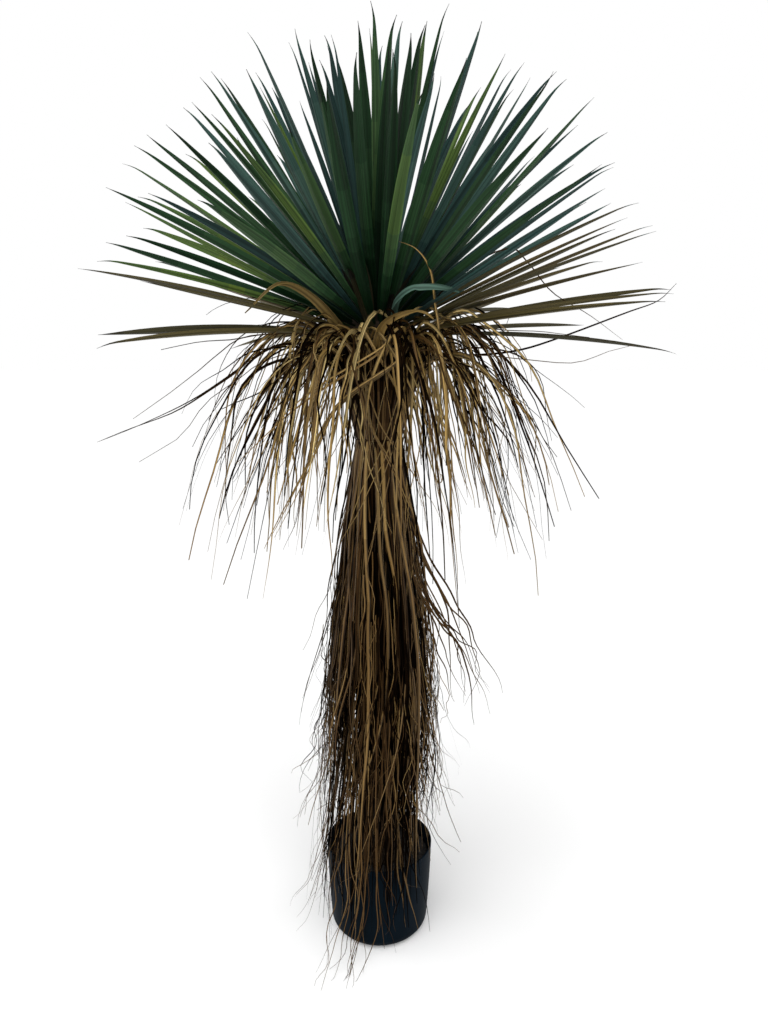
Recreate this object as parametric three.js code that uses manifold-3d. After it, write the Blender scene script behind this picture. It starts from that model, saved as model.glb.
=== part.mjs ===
// An artificial beaked yucca, about 1.6 m tall, standing in its round pot.
// A trunk stands in the filled pot. A thatch of dry strips hangs down it, a flaring collar
// carries a skirt of dead leaves, and above that stand two whorls of brown leaves and a
// half globe of stiff green sword leaves.
// Millimetres and degrees, +Z up, origin at the middle of the pot's underside, front at -Y.
import * as THREE from "three";
import { mergeVertices } from "three/addons/utils/BufferGeometryUtils.js";
import Module from "manifold-3d";

const wasm = await Module();
wasm.setup();

// Clearance between separate pieces
const GAP = 0.3;

// Pot: a plain tapered tub with a rounded bottom edge
const POT_HEIGHT = 171;
const POT_RIM_RADIUS = 100;
const POT_FOOT_RADIUS = 91;
const POT_EDGE_ROUND = 20;
const POT_WALL = 3;
const POT_FLOOR = 4;
const POT_SIDES = 36;
const POT_ROUND_STEPS = 4;
const FILL_TOP = 145;

// Trunk: radius at each height, from the flared foot on the filling to the tip inside the crown
const TRUNK_FOOT = FILL_TOP + GAP;
const TRUNK_SHOULDER = { height: 1113, radius: 29 };
const TRUNK_TIP = { height: 1165, radius: 9 };
const TRUNK_PROFILE = [
  { height: TRUNK_FOOT, radius: 46 },
  { height: TRUNK_FOOT + 25, radius: 41 },
  { height: TRUNK_FOOT + 80, radius: 37 },
  { height: 575, radius: 35 },
  { height: 905, radius: 33 },
  { height: 1090, radius: 32 },
  TRUNK_SHOULDER,
  TRUNK_TIP,
];
const TRUNK_SIDES = 16;

// Dry strips hang in sectors round the trunk, each kept clear of its neighbours
const SECTORS = 8;
const STRIP_ROOT_SHARE = 0.45;
const STRIP_WIDEST_AT = 0.3;
const STRIP_TIP_SHARE = 0.2;
const STRIP_JITTER = 0.4;

// Thatch: locks of strips that hang down the trunk round a dense core
const THATCH_CORE = [
  { height: 211, radius: 58 },
  { height: 265, radius: 77 },
  { height: 445, radius: 84 },
  { height: 615, radius: 71 },
  { height: 835, radius: 48 },
  { height: 953, radius: 39 },
];
const THATCH = {
  seed: 17,
  locks: 6,
  halfWidth: 6.5,
  thickness: 8.5,
  stations: [0, 0.24, 0.5, 0.77],
  roots: [927, 941],
  shoulderHeight: 785,
  shoulderRadius: [63, 70],
  elbowShare: 0.62,
  margin: 5.5,
  gather: 0.16,
};
// Where a lock may end: over the pot's rim, in the pot, or short of it.
// Elbow is its radius at the bend above the tip, radius and height are the tip's.
const THATCH_ENDS = {
  overRim: { elbow: [112, 124], radius: [113, 150], height: [8, 128] },
  inPot: { elbow: [104, 118], radius: [62, 84], height: [153, 205] },
  short: { elbow: [104, 120], radius: [96, 120], height: [205, 415] },
};
// Only the locks near this bearing are long enough to hang over the pot's rim
const OVERHANG_BEARING = 228;
const OVERHANG_SPREAD = 68;
const OVERHANG_SHARE = 0.5;
const IN_POT_SHARE = 0.62;

// Collar and skirt: dead leaves that rise from the collar, arch over and droop
const COLLAR_PROFILE = [
  { height: 957, radius: 38 },
  { height: 995, radius: 51 },
  { height: 1045, radius: 70 },
  { height: 1079, radius: 78 },
  { height: 1106, radius: 60 },
];
const SKIRT = {
  seed: 12,
  locks: 11,
  halfWidth: 3.6,
  thickness: 5.5,
  stations: [0, 0.17, 0.37, 0.57, 0.79],
  roots: [1029, 1075],
  archHeight: [1109, 1196],
  rise: [30, 60],
  nearest: 118,
  shoulder: [0.4, 0.8],
  furthest: 345,
  sway: [-10, 20],
  tips: [715, 905],
  margin: 4.5,
  gather: 0.25,
};

// Sword leaves stand on a dome round the trunk's tip, whorl above whorl
const DOME_CENTRE = TRUNK_SHOULDER.height;
const DOME_RADIUS = 56;
const WHORL_STEP = 7.5;
const WHORL_GAP = 0.8;
const FIRST_TURN = 24;
const WHORL_TURN = 137.5;
const LEAF_STATIONS = [0, 0.3, 0.68];
const LEAF_WIDEST_AT = 0.42;
const LEAF_ROOT_SHARE = 0.4;
const LEAF_TIP_POWER = 1.6;
const LEAF_FOLD = 0.32;
const LEAF_THICKNESS = 4.8;
const LEAF_SINK = 5;
const LEAF_ROLL = 40;
const LEAF_JITTER = 0.3;
const LEAF_SIDE_BEND = 22;
// Low leaves part at the front, where the leaf bases show
const FRONT_BEARING = 270;
const LOW_ELEVATION = 36;
const BROWN = {
  name: "brown_whorl",
  elevations: [4, 11.5],
  leaves: () => 12,
  parting: 34,
  stray: [-4, 8],
  length: [378, 448],
  bend: [-56, 10],
  halfWidth: 10.5,
  materials: ["brownLeaf"],
};
const GREEN = {
  name: "crown_whorl",
  elevations: [19, 26.5, 34, 41.5, 49, 56.5, 64],
  leaves: (elevation) => Math.round(4 + 14.5 * cosine(elevation)),
  parting: 24,
  stray: [-2.6, 2.6],
  length: [384, 428],
  bend: [-28, 10],
  halfWidth: 13.2,
  materials: ["deepGreen", "blueGreen"],
};
// The heart is a bun on the trunk's tip with three rows of upright leaves
const HEART = {
  name: "crown_heart",
  foot: TRUNK_TIP.height + GAP,
  profile: [
    { height: 0, radius: 19 },
    { height: 4, radius: 21 },
    { height: 9, radius: 14 },
    { height: 11, radius: 0 },
  ],
  rows: [
    { elevation: 71.5, count: 9 },
    { elevation: 79, count: 6 },
    { elevation: 86.5, count: 3 },
  ],
  domeRadius: 61,
  stray: [-2.6, 2.6],
  length: [380, 420],
  bend: [-10, 10],
  halfWidth: 12.5,
};

const MATERIALS = {
  pot: finish(0x16222b, 0.45),
  filling: finish(0x15120f, 0.95),
  bark: finish(0x43351f, 0.9),
  thatch: finish(0x6b5029, 0.85),
  deadLeaf: finish(0x8a6b36, 0.8),
  brownLeaf: finish(0x4f4220, 0.7),
  deepGreen: finish(0x1f3d2c, 0.5),
  blueGreen: finish(0x24463c, 0.5),
  freshGreen: finish(0x3f5f26, 0.5),
};

function finish(color, roughness) {
  return new THREE.MeshStandardMaterial({ color, roughness, metalness: 0 });
}

// A repeatable random number from low to high that depends only on the piece's own numbers
function pick([low, high], ...numbers) {
  const phase = numbers.reduce((sum, n, i) => sum + n * (12.9898 + 65.2432 * i), 0.37);
  const wave = Math.sin(phase) * 43758.5453;
  return low + (high - low) * (wave - Math.floor(wave));
}

function cosine(degrees) {
  return Math.cos(THREE.MathUtils.degToRad(degrees));
}

// Radius at a height on a profile of { height, radius } points
function radiusAt(profile, height) {
  const above = profile.findIndex((p) => p.height >= height);
  if (above < 0) return profile.at(-1).radius;
  if (above === 0) return profile[0].radius;
  const [a, b] = [profile[above - 1], profile[above]];
  return THREE.MathUtils.mapLinear(height, a.height, b.height, a.radius, b.radius);
}

// A closed three.js geometry as a solid that booleans can work on
function solidOf(geometry) {
  const bare = geometry.clone();
  bare.deleteAttribute("normal");
  bare.deleteAttribute("uv");
  const merged = mergeVertices(bare, 1e-3);
  const corners = [...merged.index.array];
  const faces = [];
  for (let i = 0; i < corners.length; i += 3) {
    const [a, b, c] = corners.slice(i, i + 3);
    if (a !== b && b !== c && a !== c) faces.push(a, b, c);
  }
  const build = (triangles) =>
    new wasm.Manifold(
      new wasm.Mesh({
        numProp: 3,
        vertProperties: merged.attributes.position.array,
        triVerts: new Uint32Array(triangles),
      }),
    );
  const solid = build(faces);
  return solid.volume() > 0 ? solid : build(faces.reverse());
}

// The largest body of a solid: loose scraps and sealed hollows fall away
function oneBody(solid) {
  return solid.decompose().reduce((a, b) => (b.volume() > a.volume() ? b : a));
}

function geometryOf(solid) {
  const mesh = solid.getMesh();
  const geometry = new THREE.BufferGeometry();
  geometry.setAttribute("position", new THREE.BufferAttribute(mesh.vertProperties, 3));
  geometry.setIndex(new THREE.BufferAttribute(mesh.triVerts, 1));
  geometry.computeVertexNormals();
  return geometry;
}

// A solid of revolution round Z from [radius, height] points
function turned(points, sides) {
  const profile = points.map(([radius, height]) => new THREE.Vector2(radius, height));
  return solidOf(new THREE.LatheGeometry(profile, sides).rotateX(Math.PI / 2));
}

// One sector of a ring: a turned closed profile cut to the sector's wedge, clear of its neighbours
function ringSector(points, sector) {
  const reach = 400;
  const turn = 360 / SECTORS;
  const half = THREE.MathUtils.degToRad(turn / 2);
  const apex = GAP / 2 / Math.sin(half);
  const wedge = new THREE.Shape([
    new THREE.Vector2(apex, 0),
    new THREE.Vector2(apex + reach * Math.cos(half), -reach * Math.sin(half)),
    new THREE.Vector2(apex + reach * Math.cos(half), reach * Math.sin(half)),
  ]);
  const heights = points.map((p) => p[1]);
  const bottom = Math.min(...heights) - 1;
  const depth = Math.max(...heights) + 1 - bottom;
  const cutter = new THREE.ExtrudeGeometry(wedge, { depth, bevelEnabled: false })
    .translate(0, 0, bottom)
    .rotateZ(THREE.MathUtils.degToRad(turn * (sector + 0.5)));
  return turned(points, TRUNK_SIDES).intersect(solidOf(cutter));
}

// A closed loft through rings of points that ends in a single tip point
function loft(sections, tip) {
  const sides = sections[0].length;
  const points = [...sections.flat(), tip];
  const faces = [];
  for (let k = 1; k < sides - 1; k++) faces.push(0, k, k + 1);
  for (let row = 0; row < sections.length - 1; row++) {
    for (let k = 0; k < sides; k++) {
      const a = row * sides + k;
      const b = row * sides + ((k + 1) % sides);
      faces.push(a, a + sides, b, b, a + sides, b + sides);
    }
  }
  const last = (sections.length - 1) * sides;
  for (let k = 0; k < sides; k++) faces.push(last + k, points.length - 1, last + ((k + 1) % sides));
  const geometry = new THREE.BufferGeometry().setFromPoints(points);
  geometry.setIndex(faces);
  return solidOf(geometry);
}

// The point at a bearing round the trunk, a radius and a height
function around(bearing, radius, height) {
  const angle = THREE.MathUtils.degToRad(bearing);
  return new THREE.Vector3(radius * Math.cos(angle), radius * Math.sin(angle), height);
}

// Across and upward directions of a blade at a place on its midrib, rolled about it towards the tip
function bladeFrame(curve, place, across, roll) {
  const along = curve.getTangent(place);
  const up = new THREE.Vector3().crossVectors(along, across).normalize();
  const side = new THREE.Vector3().crossVectors(up, along).normalize();
  const angle = THREE.MathUtils.degToRad(roll * place);
  return { up: up.applyAxisAngle(along, angle), side: side.applyAxisAngle(along, angle) };
}

function leafHalfWidth(place, widest) {
  if (place < LEAF_WIDEST_AT) {
    const grown = Math.sin(((place / LEAF_WIDEST_AT) * Math.PI) / 2);
    return widest * (LEAF_ROOT_SHARE + (1 - LEAF_ROOT_SHARE) * grown);
  }
  const beyond = (place - LEAF_WIDEST_AT) / (1 - LEAF_WIDEST_AT);
  return widest * (1 - beyond ** LEAF_TIP_POWER);
}

// A stiff sword leaf: a blade folded up along its midrib, widest below the middle
function swordLeaf({ root, bearing, elevation, length, bend, sideBend, roll, halfWidth }) {
  const rise = THREE.MathUtils.degToRad(elevation);
  const along = around(bearing, Math.cos(rise), Math.sin(rise));
  const across = around(bearing + 90, 1, 0);
  const up = new THREE.Vector3().crossVectors(along, across);
  const middle = root.clone().addScaledVector(along, length / 2);
  const tip = root.clone().addScaledVector(along, length);
  tip.addScaledVector(up, bend).addScaledVector(across, sideBend);
  const midrib = new THREE.QuadraticBezierCurve3(root, middle, tip);
  const sections = LEAF_STATIONS.map((place) => {
    const frame = bladeFrame(midrib, place, across, roll);
    const half = leafHalfWidth(place, halfWidth);
    const thick = (LEAF_THICKNESS / 2) * Math.sqrt(half / halfWidth);
    const rib = midrib.getPoint(place);
    const edge = rib.clone().addScaledVector(frame.up, LEAF_FOLD * half);
    return [
      edge.clone().addScaledVector(frame.side, -half),
      rib.clone().addScaledVector(frame.up, -thick),
      edge.clone().addScaledVector(frame.side, half),
      rib.clone().addScaledVector(frame.up, thick),
    ];
  });
  return loft(sections, tip);
}

function stripShare(place) {
  if (place < STRIP_WIDEST_AT) {
    return THREE.MathUtils.mapLinear(place, 0, STRIP_WIDEST_AT, STRIP_ROOT_SHARE, 1);
  }
  return THREE.MathUtils.mapLinear(place, STRIP_WIDEST_AT, 1, 1, STRIP_TIP_SHARE);
}

// A dry strip or lock of strips: a three-sided ribbon along a curve, tapering to a point
function dryStrip({ curve, across }, { stations, halfWidth, thickness }) {
  const sections = stations.map((place) => {
    const frame = bladeFrame(curve, place, across, 0);
    const share = stripShare(place);
    const rib = curve.getPoint(place);
    return [
      rib.clone().addScaledVector(frame.side, -halfWidth * share),
      rib.clone().addScaledVector(frame.up, -thickness * share),
      rib.clone().addScaledVector(frame.side, halfWidth * share),
    ];
  });
  return loft(sections, curve.getPoint(1));
}

// Every solid placed so far, with the node it belongs to
const placed = [];

function place(node, solid) {
  placed.push({ node, solid, box: solid.boundingBox() });
}

function boxesNear(a, b) {
  return [0, 1, 2].every((i) => a.min[i] - GAP < b.max[i] && b.min[i] - GAP < a.max[i]);
}

function clearOfOthers(node, solid) {
  const box = solid.boundingBox();
  return placed.every(
    (other) =>
      other.node === node || !boxesNear(box, other.box) || solid.minGap(other.solid, GAP) >= GAP,
  );
}

// A leaf or strip that would touch another node's pieces is left out
function placeClear(node, solid) {
  if (clearOfOthers(node, solid)) place(node, solid);
}

function potSolid() {
  const side = (height) =>
    THREE.MathUtils.mapLinear(height, 0, POT_HEIGHT, POT_FOOT_RADIUS, POT_RIM_RADIUS);
  const outer = [[0, 0]];
  for (let step = 0; step <= POT_ROUND_STEPS; step++) {
    const angle = ((step / POT_ROUND_STEPS) * Math.PI) / 2;
    const inset = POT_EDGE_ROUND * (1 - Math.sin(angle));
    outer.push([side(POT_EDGE_ROUND) - inset, POT_EDGE_ROUND * (1 - Math.cos(angle))]);
  }
  outer.push([POT_RIM_RADIUS, POT_HEIGHT]);
  const inner = potInside(0).reverse();
  return turned([...outer, [POT_RIM_RADIUS - POT_WALL, POT_HEIGHT], ...inner], POT_SIDES);
}

// The pot's inner profile up to the filling's surface, drawn in by a clearance
function potInside(clearance) {
  const side = (height) =>
    THREE.MathUtils.mapLinear(height, 0, POT_HEIGHT, POT_FOOT_RADIUS, POT_RIM_RADIUS) - POT_WALL;
  const floor = POT_FLOOR + clearance;
  return [
    [0, floor],
    [POT_FOOT_RADIUS - POT_EDGE_ROUND - clearance, floor],
    [side(POT_EDGE_ROUND) - clearance, POT_EDGE_ROUND + POT_FLOOR + clearance],
    [side(FILL_TOP) - clearance, FILL_TOP],
  ];
}

function fillingSolid() {
  return turned([...potInside(GAP), [0, FILL_TOP]], POT_SIDES);
}

function trunkSolid() {
  const wall = TRUNK_PROFILE.map((p) => [p.radius, p.height]);
  return turned([[0, TRUNK_FOOT], ...wall, [0, TRUNK_PROFILE.at(-1).height]], TRUNK_SIDES);
}

// A closed ring profile from the trunk's surface to an outer profile of { height, radius } points
function huggingRing(outer) {
  const [bottom, top] = [outer[0].height, outer.at(-1).height];
  const bends = TRUNK_PROFILE.map((p) => p.height).filter((h) => h > bottom && h < top);
  const inside = [top, ...bends.toReversed(), bottom].map((height) => [
    radiusAt(TRUNK_PROFILE, height) + 2 * GAP,
    height,
  ]);
  const outside = outer.map((p) => [p.radius, p.height]);
  return [...outside, ...inside, outside[0]];
}

// A point on the dome of leaf bases, or inside it where the radius is smaller
function onDome(bearing, elevation, radius) {
  const rise = THREE.MathUtils.degToRad(elevation);
  return around(bearing, radius * Math.cos(rise), DOME_CENTRE + radius * Math.sin(rise));
}

// The angle between two bearings
function turnBetween(a, b) {
  return Math.abs(((a - b + 540) % 360) - 180);
}

function leafBearing(row, number, count) {
  const jitter = pick([-LEAF_JITTER, LEAF_JITTER], number + 1, row + 1, 1);
  return FIRST_TURN + row * WHORL_TURN + (360 / count) * (number + jitter);
}

// One leaf of a whorl or row: its seat is fixed on the dome and its direction strays a little
function whorlLeaf(kind, row, number, count, elevation, radius) {
  const key = [number + 1, row + 1];
  const bearing = leafBearing(row, number, count);
  return swordLeaf({
    root: onDome(bearing, elevation, radius - LEAF_SINK),
    bearing,
    elevation: elevation + pick(kind.stray, ...key, 2),
    length: pick(kind.length, ...key, 3),
    bend: pick(kind.bend, ...key, 4),
    sideBend: pick([-LEAF_SIDE_BEND, LEAF_SIDE_BEND], ...key, 5),
    roll: pick([-LEAF_ROLL, LEAF_ROLL], ...key, 6),
    halfWidth: kind.halfWidth,
  });
}

// The heart's rows follow on from the whorls' numbers
function placeHeart() {
  const bun = HEART.profile.map((p) => [p.radius, HEART.foot + p.height]);
  place(HEART.name, turned([[0, HEART.foot], ...bun], TRUNK_SIDES));
  const firstRow = BROWN.elevations.length + GREEN.elevations.length;
  HEART.rows.forEach(({ elevation, count }, index) => {
    for (let number = 0; number < count; number++) {
      placeClear(
        HEART.name,
        whorlLeaf(HEART, firstRow + index, number, count, elevation, HEART.domeRadius),
      );
    }
  });
  return [{ node: HEART.name, material: "freshGreen" }];
}

// How far the trunk's tapering tip lies from the dome's centre along a slope
function tipDistance(slope) {
  const taper =
    (TRUNK_SHOULDER.radius - TRUNK_TIP.radius) / (TRUNK_TIP.height - TRUNK_SHOULDER.height);
  return TRUNK_SHOULDER.radius / (Math.cos(slope) + taper * Math.sin(slope));
}

// The slice of the dome that carries one whorl, between two cones round the trunk's tip
function whorlRing(elevation) {
  const half = (WHORL_STEP - WHORL_GAP) / 2;
  const slopes = [elevation - half, elevation + half].map(THREE.MathUtils.degToRad);
  const at = (slope, radius) => [
    radius * Math.cos(slope),
    DOME_CENTRE + radius * Math.sin(slope),
  ];
  const outside = slopes.map((slope) => at(slope, DOME_RADIUS));
  const inside = slopes.toReversed().map((slope) => at(slope, tipDistance(slope) + 2 * GAP));
  return turned([...outside, ...inside, outside[0]], TRUNK_SIDES);
}

function placeWhorls(kind, firstRow) {
  return kind.elevations.map((elevation, index) => {
    const node = `${kind.name}_${index + 1}`;
    const row = firstRow + index;
    const count = kind.leaves(elevation);
    const parting = elevation < LOW_ELEVATION ? kind.parting : 0;
    place(node, whorlRing(elevation));
    for (let number = 0; number < count; number++) {
      if (turnBetween(leafBearing(row, number, count), FRONT_BEARING) < parting) continue;
      placeClear(node, whorlLeaf(kind, row, number, count, elevation, DOME_RADIUS));
    }
    return { node, material: kind.materials[index % kind.materials.length] };
  });
}

// A strip's bearing in its sector, evenly spread with a jitter and clear of the sector's edges,
// and the bearing of its tip, which leans towards the middle of the sector
function bearingsInSector(sector, number, { locks, margin, gather }, key) {
  const turn = 360 / SECTORS;
  const share = (number + 0.5 + pick([-STRIP_JITTER, STRIP_JITTER], ...key, 1)) / locks;
  const start = turn * sector + THREE.MathUtils.lerp(margin, turn - margin, share);
  const lean = pick([0, gather], ...key, 2);
  return { start, end: THREE.MathUtils.lerp(start, turn * (sector + 0.5), lean) };
}

// The line of a dead leaf: up and out from the collar, over an arch and down to a hanging tip
function skirtLine(sector, number) {
  const key = [sector * SKIRT.locks + number + 1, SKIRT.seed];
  const { start, end } = bearingsInSector(sector, number, SKIRT, key);
  const rootHeight = pick(SKIRT.roots, ...key, 3);
  const rootRadius = radiusAt(COLLAR_PROFILE, rootHeight) - LEAF_SINK;
  const spread = Math.sqrt(pick([0, 1], ...key, 4));
  const reach = THREE.MathUtils.lerp(SKIRT.nearest, SKIRT.furthest, spread);
  const shoulder = Math.max(reach * pick(SKIRT.shoulder, ...key, 9), SKIRT.nearest);
  const archHeight = pick(SKIRT.archHeight, ...key, 5);
  const curve = new THREE.CubicBezierCurve3(
    around(start, rootRadius, rootHeight),
    around(start, rootRadius + pick(SKIRT.rise, ...key, 7), archHeight),
    around((start + end) / 2, shoulder, archHeight),
    around(end, reach + pick(SKIRT.sway, ...key, 8), pick(SKIRT.tips, ...key, 6)),
  );
  return { curve, across: around(start + 90, 1, 0) };
}

// Where a hanging lock of the thatch ends: over the pot's rim, in the pot or short of it
function thatchEnd(bearing, key) {
  const turnAway = turnBetween(bearing, OVERHANG_BEARING);
  const fate = pick([0, 1], ...key, 5);
  let end = THATCH_ENDS.short;
  if (turnAway < OVERHANG_SPREAD && fate < OVERHANG_SHARE) end = THATCH_ENDS.overRim;
  else if (fate < IN_POT_SHARE) end = THATCH_ENDS.inPot;
  return {
    elbow: pick(end.elbow, ...key, 6),
    radius: pick(end.radius, ...key, 7),
    height: pick(end.height, ...key, 8),
  };
}

// The line of a thatch lock: out over the core's shoulder, down past an elbow and in or out to its tip
function thatchLine(sector, number) {
  const key = [sector * THATCH.locks + number + 1, THATCH.seed];
  const { start, end } = bearingsInSector(sector, number, THATCH, key);
  const tip = thatchEnd(start, key);
  const rootHeight = pick(THATCH.roots, ...key, 3);
  const elbowHeight = THREE.MathUtils.lerp(rootHeight, tip.height, THATCH.elbowShare);
  const curve = new THREE.CubicBezierCurve3(
    around(start, radiusAt(THATCH_CORE, rootHeight) - LEAF_SINK / 2, rootHeight),
    around(start, pick(THATCH.shoulderRadius, ...key, 4), THATCH.shoulderHeight),
    around((start + end) / 2, tip.elbow, elbowHeight),
    around(end, tip.radius, tip.height),
  );
  return { curve, across: around(start - 90, 1, 0) };
}

// Places the sectors of a ring and the strips that hang from each
function placeSectors(name, material, profile, strips, lineOf) {
  const nodes = [];
  for (let sector = 0; sector < SECTORS; sector++) {
    nodes.push({ node: `${name}_${sector + 1}`, material });
    place(nodes[sector].node, ringSector(huggingRing(profile), sector));
  }
  for (let sector = 0; sector < SECTORS; sector++) {
    for (let number = 0; number < strips.locks; number++) {
      placeClear(nodes[sector].node, dryStrip(lineOf(sector, number), strips));
    }
  }
  return nodes;
}

// A named mesh of all the solids placed for a node, fused into one body
function nodeMesh({ node, material }) {
  const solids = placed.filter((p) => p.node === node).map((p) => p.solid);
  const fused = oneBody(wasm.Manifold.union(solids));
  const mesh = new THREE.Mesh(geometryOf(fused), MATERIALS[material]);
  mesh.name = node;
  return mesh;
}

function groupOf(nodes) {
  const group = new THREE.Group();
  nodes.forEach((node) => group.add(nodeMesh(node)));
  return group;
}

place("pot", potSolid());
place("pot_fill", fillingSolid());
place("trunk", trunkSolid());
const stand = [
  { node: "pot", material: "pot" },
  { node: "pot_fill", material: "filling" },
  { node: "trunk", material: "bark" },
];
const heart = placeHeart();
const brown = placeWhorls(BROWN, 0);
const green = placeWhorls(GREEN, BROWN.elevations.length);
const skirt = placeSectors("dead_skirt", "deadLeaf", COLLAR_PROFILE, SKIRT, skirtLine);
const thatch = placeSectors("trunk_thatch", "thatch", THATCH_CORE, THATCH, thatchLine);

const yucca = new THREE.Group();
[stand, heart, green, brown, skirt, thatch].forEach((nodes) => yucca.add(groupOf(nodes)));

export default yucca;
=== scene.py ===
"""Looks of an artificial beaked yucca in its pot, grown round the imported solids.

Metres and degrees, +Z up, origin at the middle of the pot's underside, front at -Y.
The sword leaves, the skirt of dead leaves and the thatch repeat the seeded rule of the solids that
they stand for, and carry it on to finer leaves, strips and fibres within the same reach.
"""

import logging
import math
from collections.abc import Sequence
from dataclasses import dataclass
from enum import Enum
from typing import NamedTuple, Union

import bpy
import numpy as np
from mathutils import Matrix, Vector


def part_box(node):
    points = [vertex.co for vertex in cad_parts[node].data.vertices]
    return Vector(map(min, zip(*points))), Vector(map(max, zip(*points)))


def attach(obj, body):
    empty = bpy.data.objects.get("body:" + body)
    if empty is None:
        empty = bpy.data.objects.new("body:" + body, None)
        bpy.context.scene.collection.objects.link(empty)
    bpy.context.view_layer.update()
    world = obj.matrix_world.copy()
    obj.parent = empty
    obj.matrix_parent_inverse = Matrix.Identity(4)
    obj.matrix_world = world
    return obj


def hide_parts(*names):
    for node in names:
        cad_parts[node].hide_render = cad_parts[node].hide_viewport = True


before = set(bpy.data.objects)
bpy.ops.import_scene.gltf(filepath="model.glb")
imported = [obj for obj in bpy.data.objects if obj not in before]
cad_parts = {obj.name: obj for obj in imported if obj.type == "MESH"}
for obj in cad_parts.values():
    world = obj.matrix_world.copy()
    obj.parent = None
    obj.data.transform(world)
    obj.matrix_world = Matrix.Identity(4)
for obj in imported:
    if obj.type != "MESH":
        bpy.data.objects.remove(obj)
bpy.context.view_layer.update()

Span = tuple[float, float]
Triple = tuple[float, float, float]
Profile = tuple[tuple[float, float], ...]
Key = tuple[int, int]
Chance = np.random.Generator
Socket = bpy.types.NodeSocket
Feed = Union[Socket, float, bool, str, tuple, bpy.types.ID]

LOG = logging.getLogger("beaked_yucca")
BODY = "root"
FRONT = 270.0
SECTORS = 8
SECTOR_TURN = 360 / SECTORS
LEAF_SINK = 0.005
SHARP_EDGE = 50.0
FLOOR_CLEARANCE = 0.0015
FULL_WIDTH = 1.0
WHITE = (1.0, 1.0, 1.0, 1.0)


class Slot(Enum):
    """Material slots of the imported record."""

    POT = "pot"
    FILLING = "filling"
    BARK = "bark"
    THATCH = "thatch"
    DEAD_LEAF = "dead_leaf"
    BROWN_LEAF = "brown_leaf"
    DEEP_GREEN = "deep_green"
    BLUE_GREEN = "blue_green"
    FRESH_GREEN = "fresh_green"


# The seeded rule and the curves of the solids

RULE_START = 0.37
RULE_STEP = 12.9898
RULE_RISE = 65.2432
RULE_GAIN = 43758.5453


def pick(span: Span, *numbers: float) -> float:
    """Gives a repeatable number that depends only on a piece's own numbers.

    Args:
        span: Lowest and highest value.
        numbers: The piece's numbers.

    Returns:
        A value in the span.
    """
    phase = RULE_START + sum(n * (RULE_STEP + RULE_RISE * place) for place, n in enumerate(numbers))
    wave = math.sin(phase) * RULE_GAIN
    return span[0] + (span[1] - span[0]) * (wave - math.floor(wave))


def lerp(low: float, high: float, share: float) -> float:
    """Returns the value at a share of the way from low to high."""
    return low + (high - low) * share


def follow(profile: Profile, places: np.ndarray | float) -> np.ndarray | float:
    """Returns the values at places on a profile of (place, value) points."""
    return np.interp(places, *zip(*profile))


def around(bearing: float, radius: float, height: float) -> np.ndarray:
    """Returns the point at a bearing round the trunk, a radius and a height."""
    angle = math.radians(bearing)
    return np.array((radius * math.cos(angle), radius * math.sin(angle), height))


def bearing_of(point: np.ndarray) -> float:
    """Returns a point's bearing round the trunk, in degrees."""
    return math.degrees(math.atan2(point[1], point[0]))


def moved(
    point: np.ndarray, turn: float, factor: float = 1.0, outward: float = 0.0, lift: float = 0.0
) -> np.ndarray:
    """Returns a point turned round the trunk, moved by a factor and a distance, and lifted."""
    radius = math.hypot(point[0], point[1]) * factor + outward
    return around(bearing_of(point) + turn, radius, point[2] + lift)


def turn_between(a: float, b: float) -> float:
    """Returns the angle between two bearings."""
    return abs((a - b + 540) % 360 - 180)


def bezier(control: Sequence[np.ndarray], places: np.ndarray) -> np.ndarray:
    """Samples a Bezier curve.

    Args:
        control: Its control points.
        places: Places along it, from 0 to 1.

    Returns:
        One point for each place.
    """
    degree = len(control) - 1
    weights = [
        math.comb(degree, k) * places**k * (1 - places) ** (degree - k) for k in range(degree + 1)
    ]
    return np.stack(weights, axis=1) @ np.array(control)


def unit(vectors: np.ndarray) -> np.ndarray:
    """Returns the vectors, one a row, at length 1."""
    return vectors / np.linalg.norm(vectors, axis=-1, keepdims=True)


def sides_of(line: np.ndarray, across: np.ndarray, roll: np.ndarray) -> np.ndarray:
    """Finds the direction across a blade at each point of its midrib.

    Args:
        line: Points of the midrib.
        across: Roughly the direction across the blade at its root.
        roll: How far the blade is rolled about its midrib at each point, in degrees.

    Returns:
        Unit vectors across the blade.
    """
    along = unit(np.gradient(line, axis=0))
    up = unit(np.cross(along, across))
    flat = np.cross(up, along)
    angles = np.radians(roll)[:, None]
    return flat * np.cos(angles) + np.cross(along, flat) * np.sin(angles)


def through(points: Sequence[Sequence[float]], stations: int) -> np.ndarray:
    """Lays a smooth line through points.

    Args:
        points: Points that it goes through.
        stations: Number of points along it.

    Returns:
        Points along it.
    """
    knots = np.array(points)
    padded = np.vstack((2 * knots[0] - knots[1], knots, 2 * knots[-1] - knots[-2]))
    where = np.linspace(0, len(knots) - 1, stations)
    first = np.minimum(where.astype(int), len(knots) - 2)
    t = (where - first)[:, None]
    a, b, c, d = (padded[first + k] for k in range(4))
    bend = (2 * a - 5 * b + 4 * c - d) * t**2 + (3 * b - a - 3 * c + d) * t**3
    return b + (c - a) * t / 2 + bend / 2


STRAY_WAVES = (0.7, 1.9, 3.7)
STRAY_FADE = 0.8
STRAY_PUSH = (1, 1, 0.5)
KINK_PLACES = (0.45, 0.95)
KINK_GAIN = 6
KINK_PUSH = (1, 1, 0.4)


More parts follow.
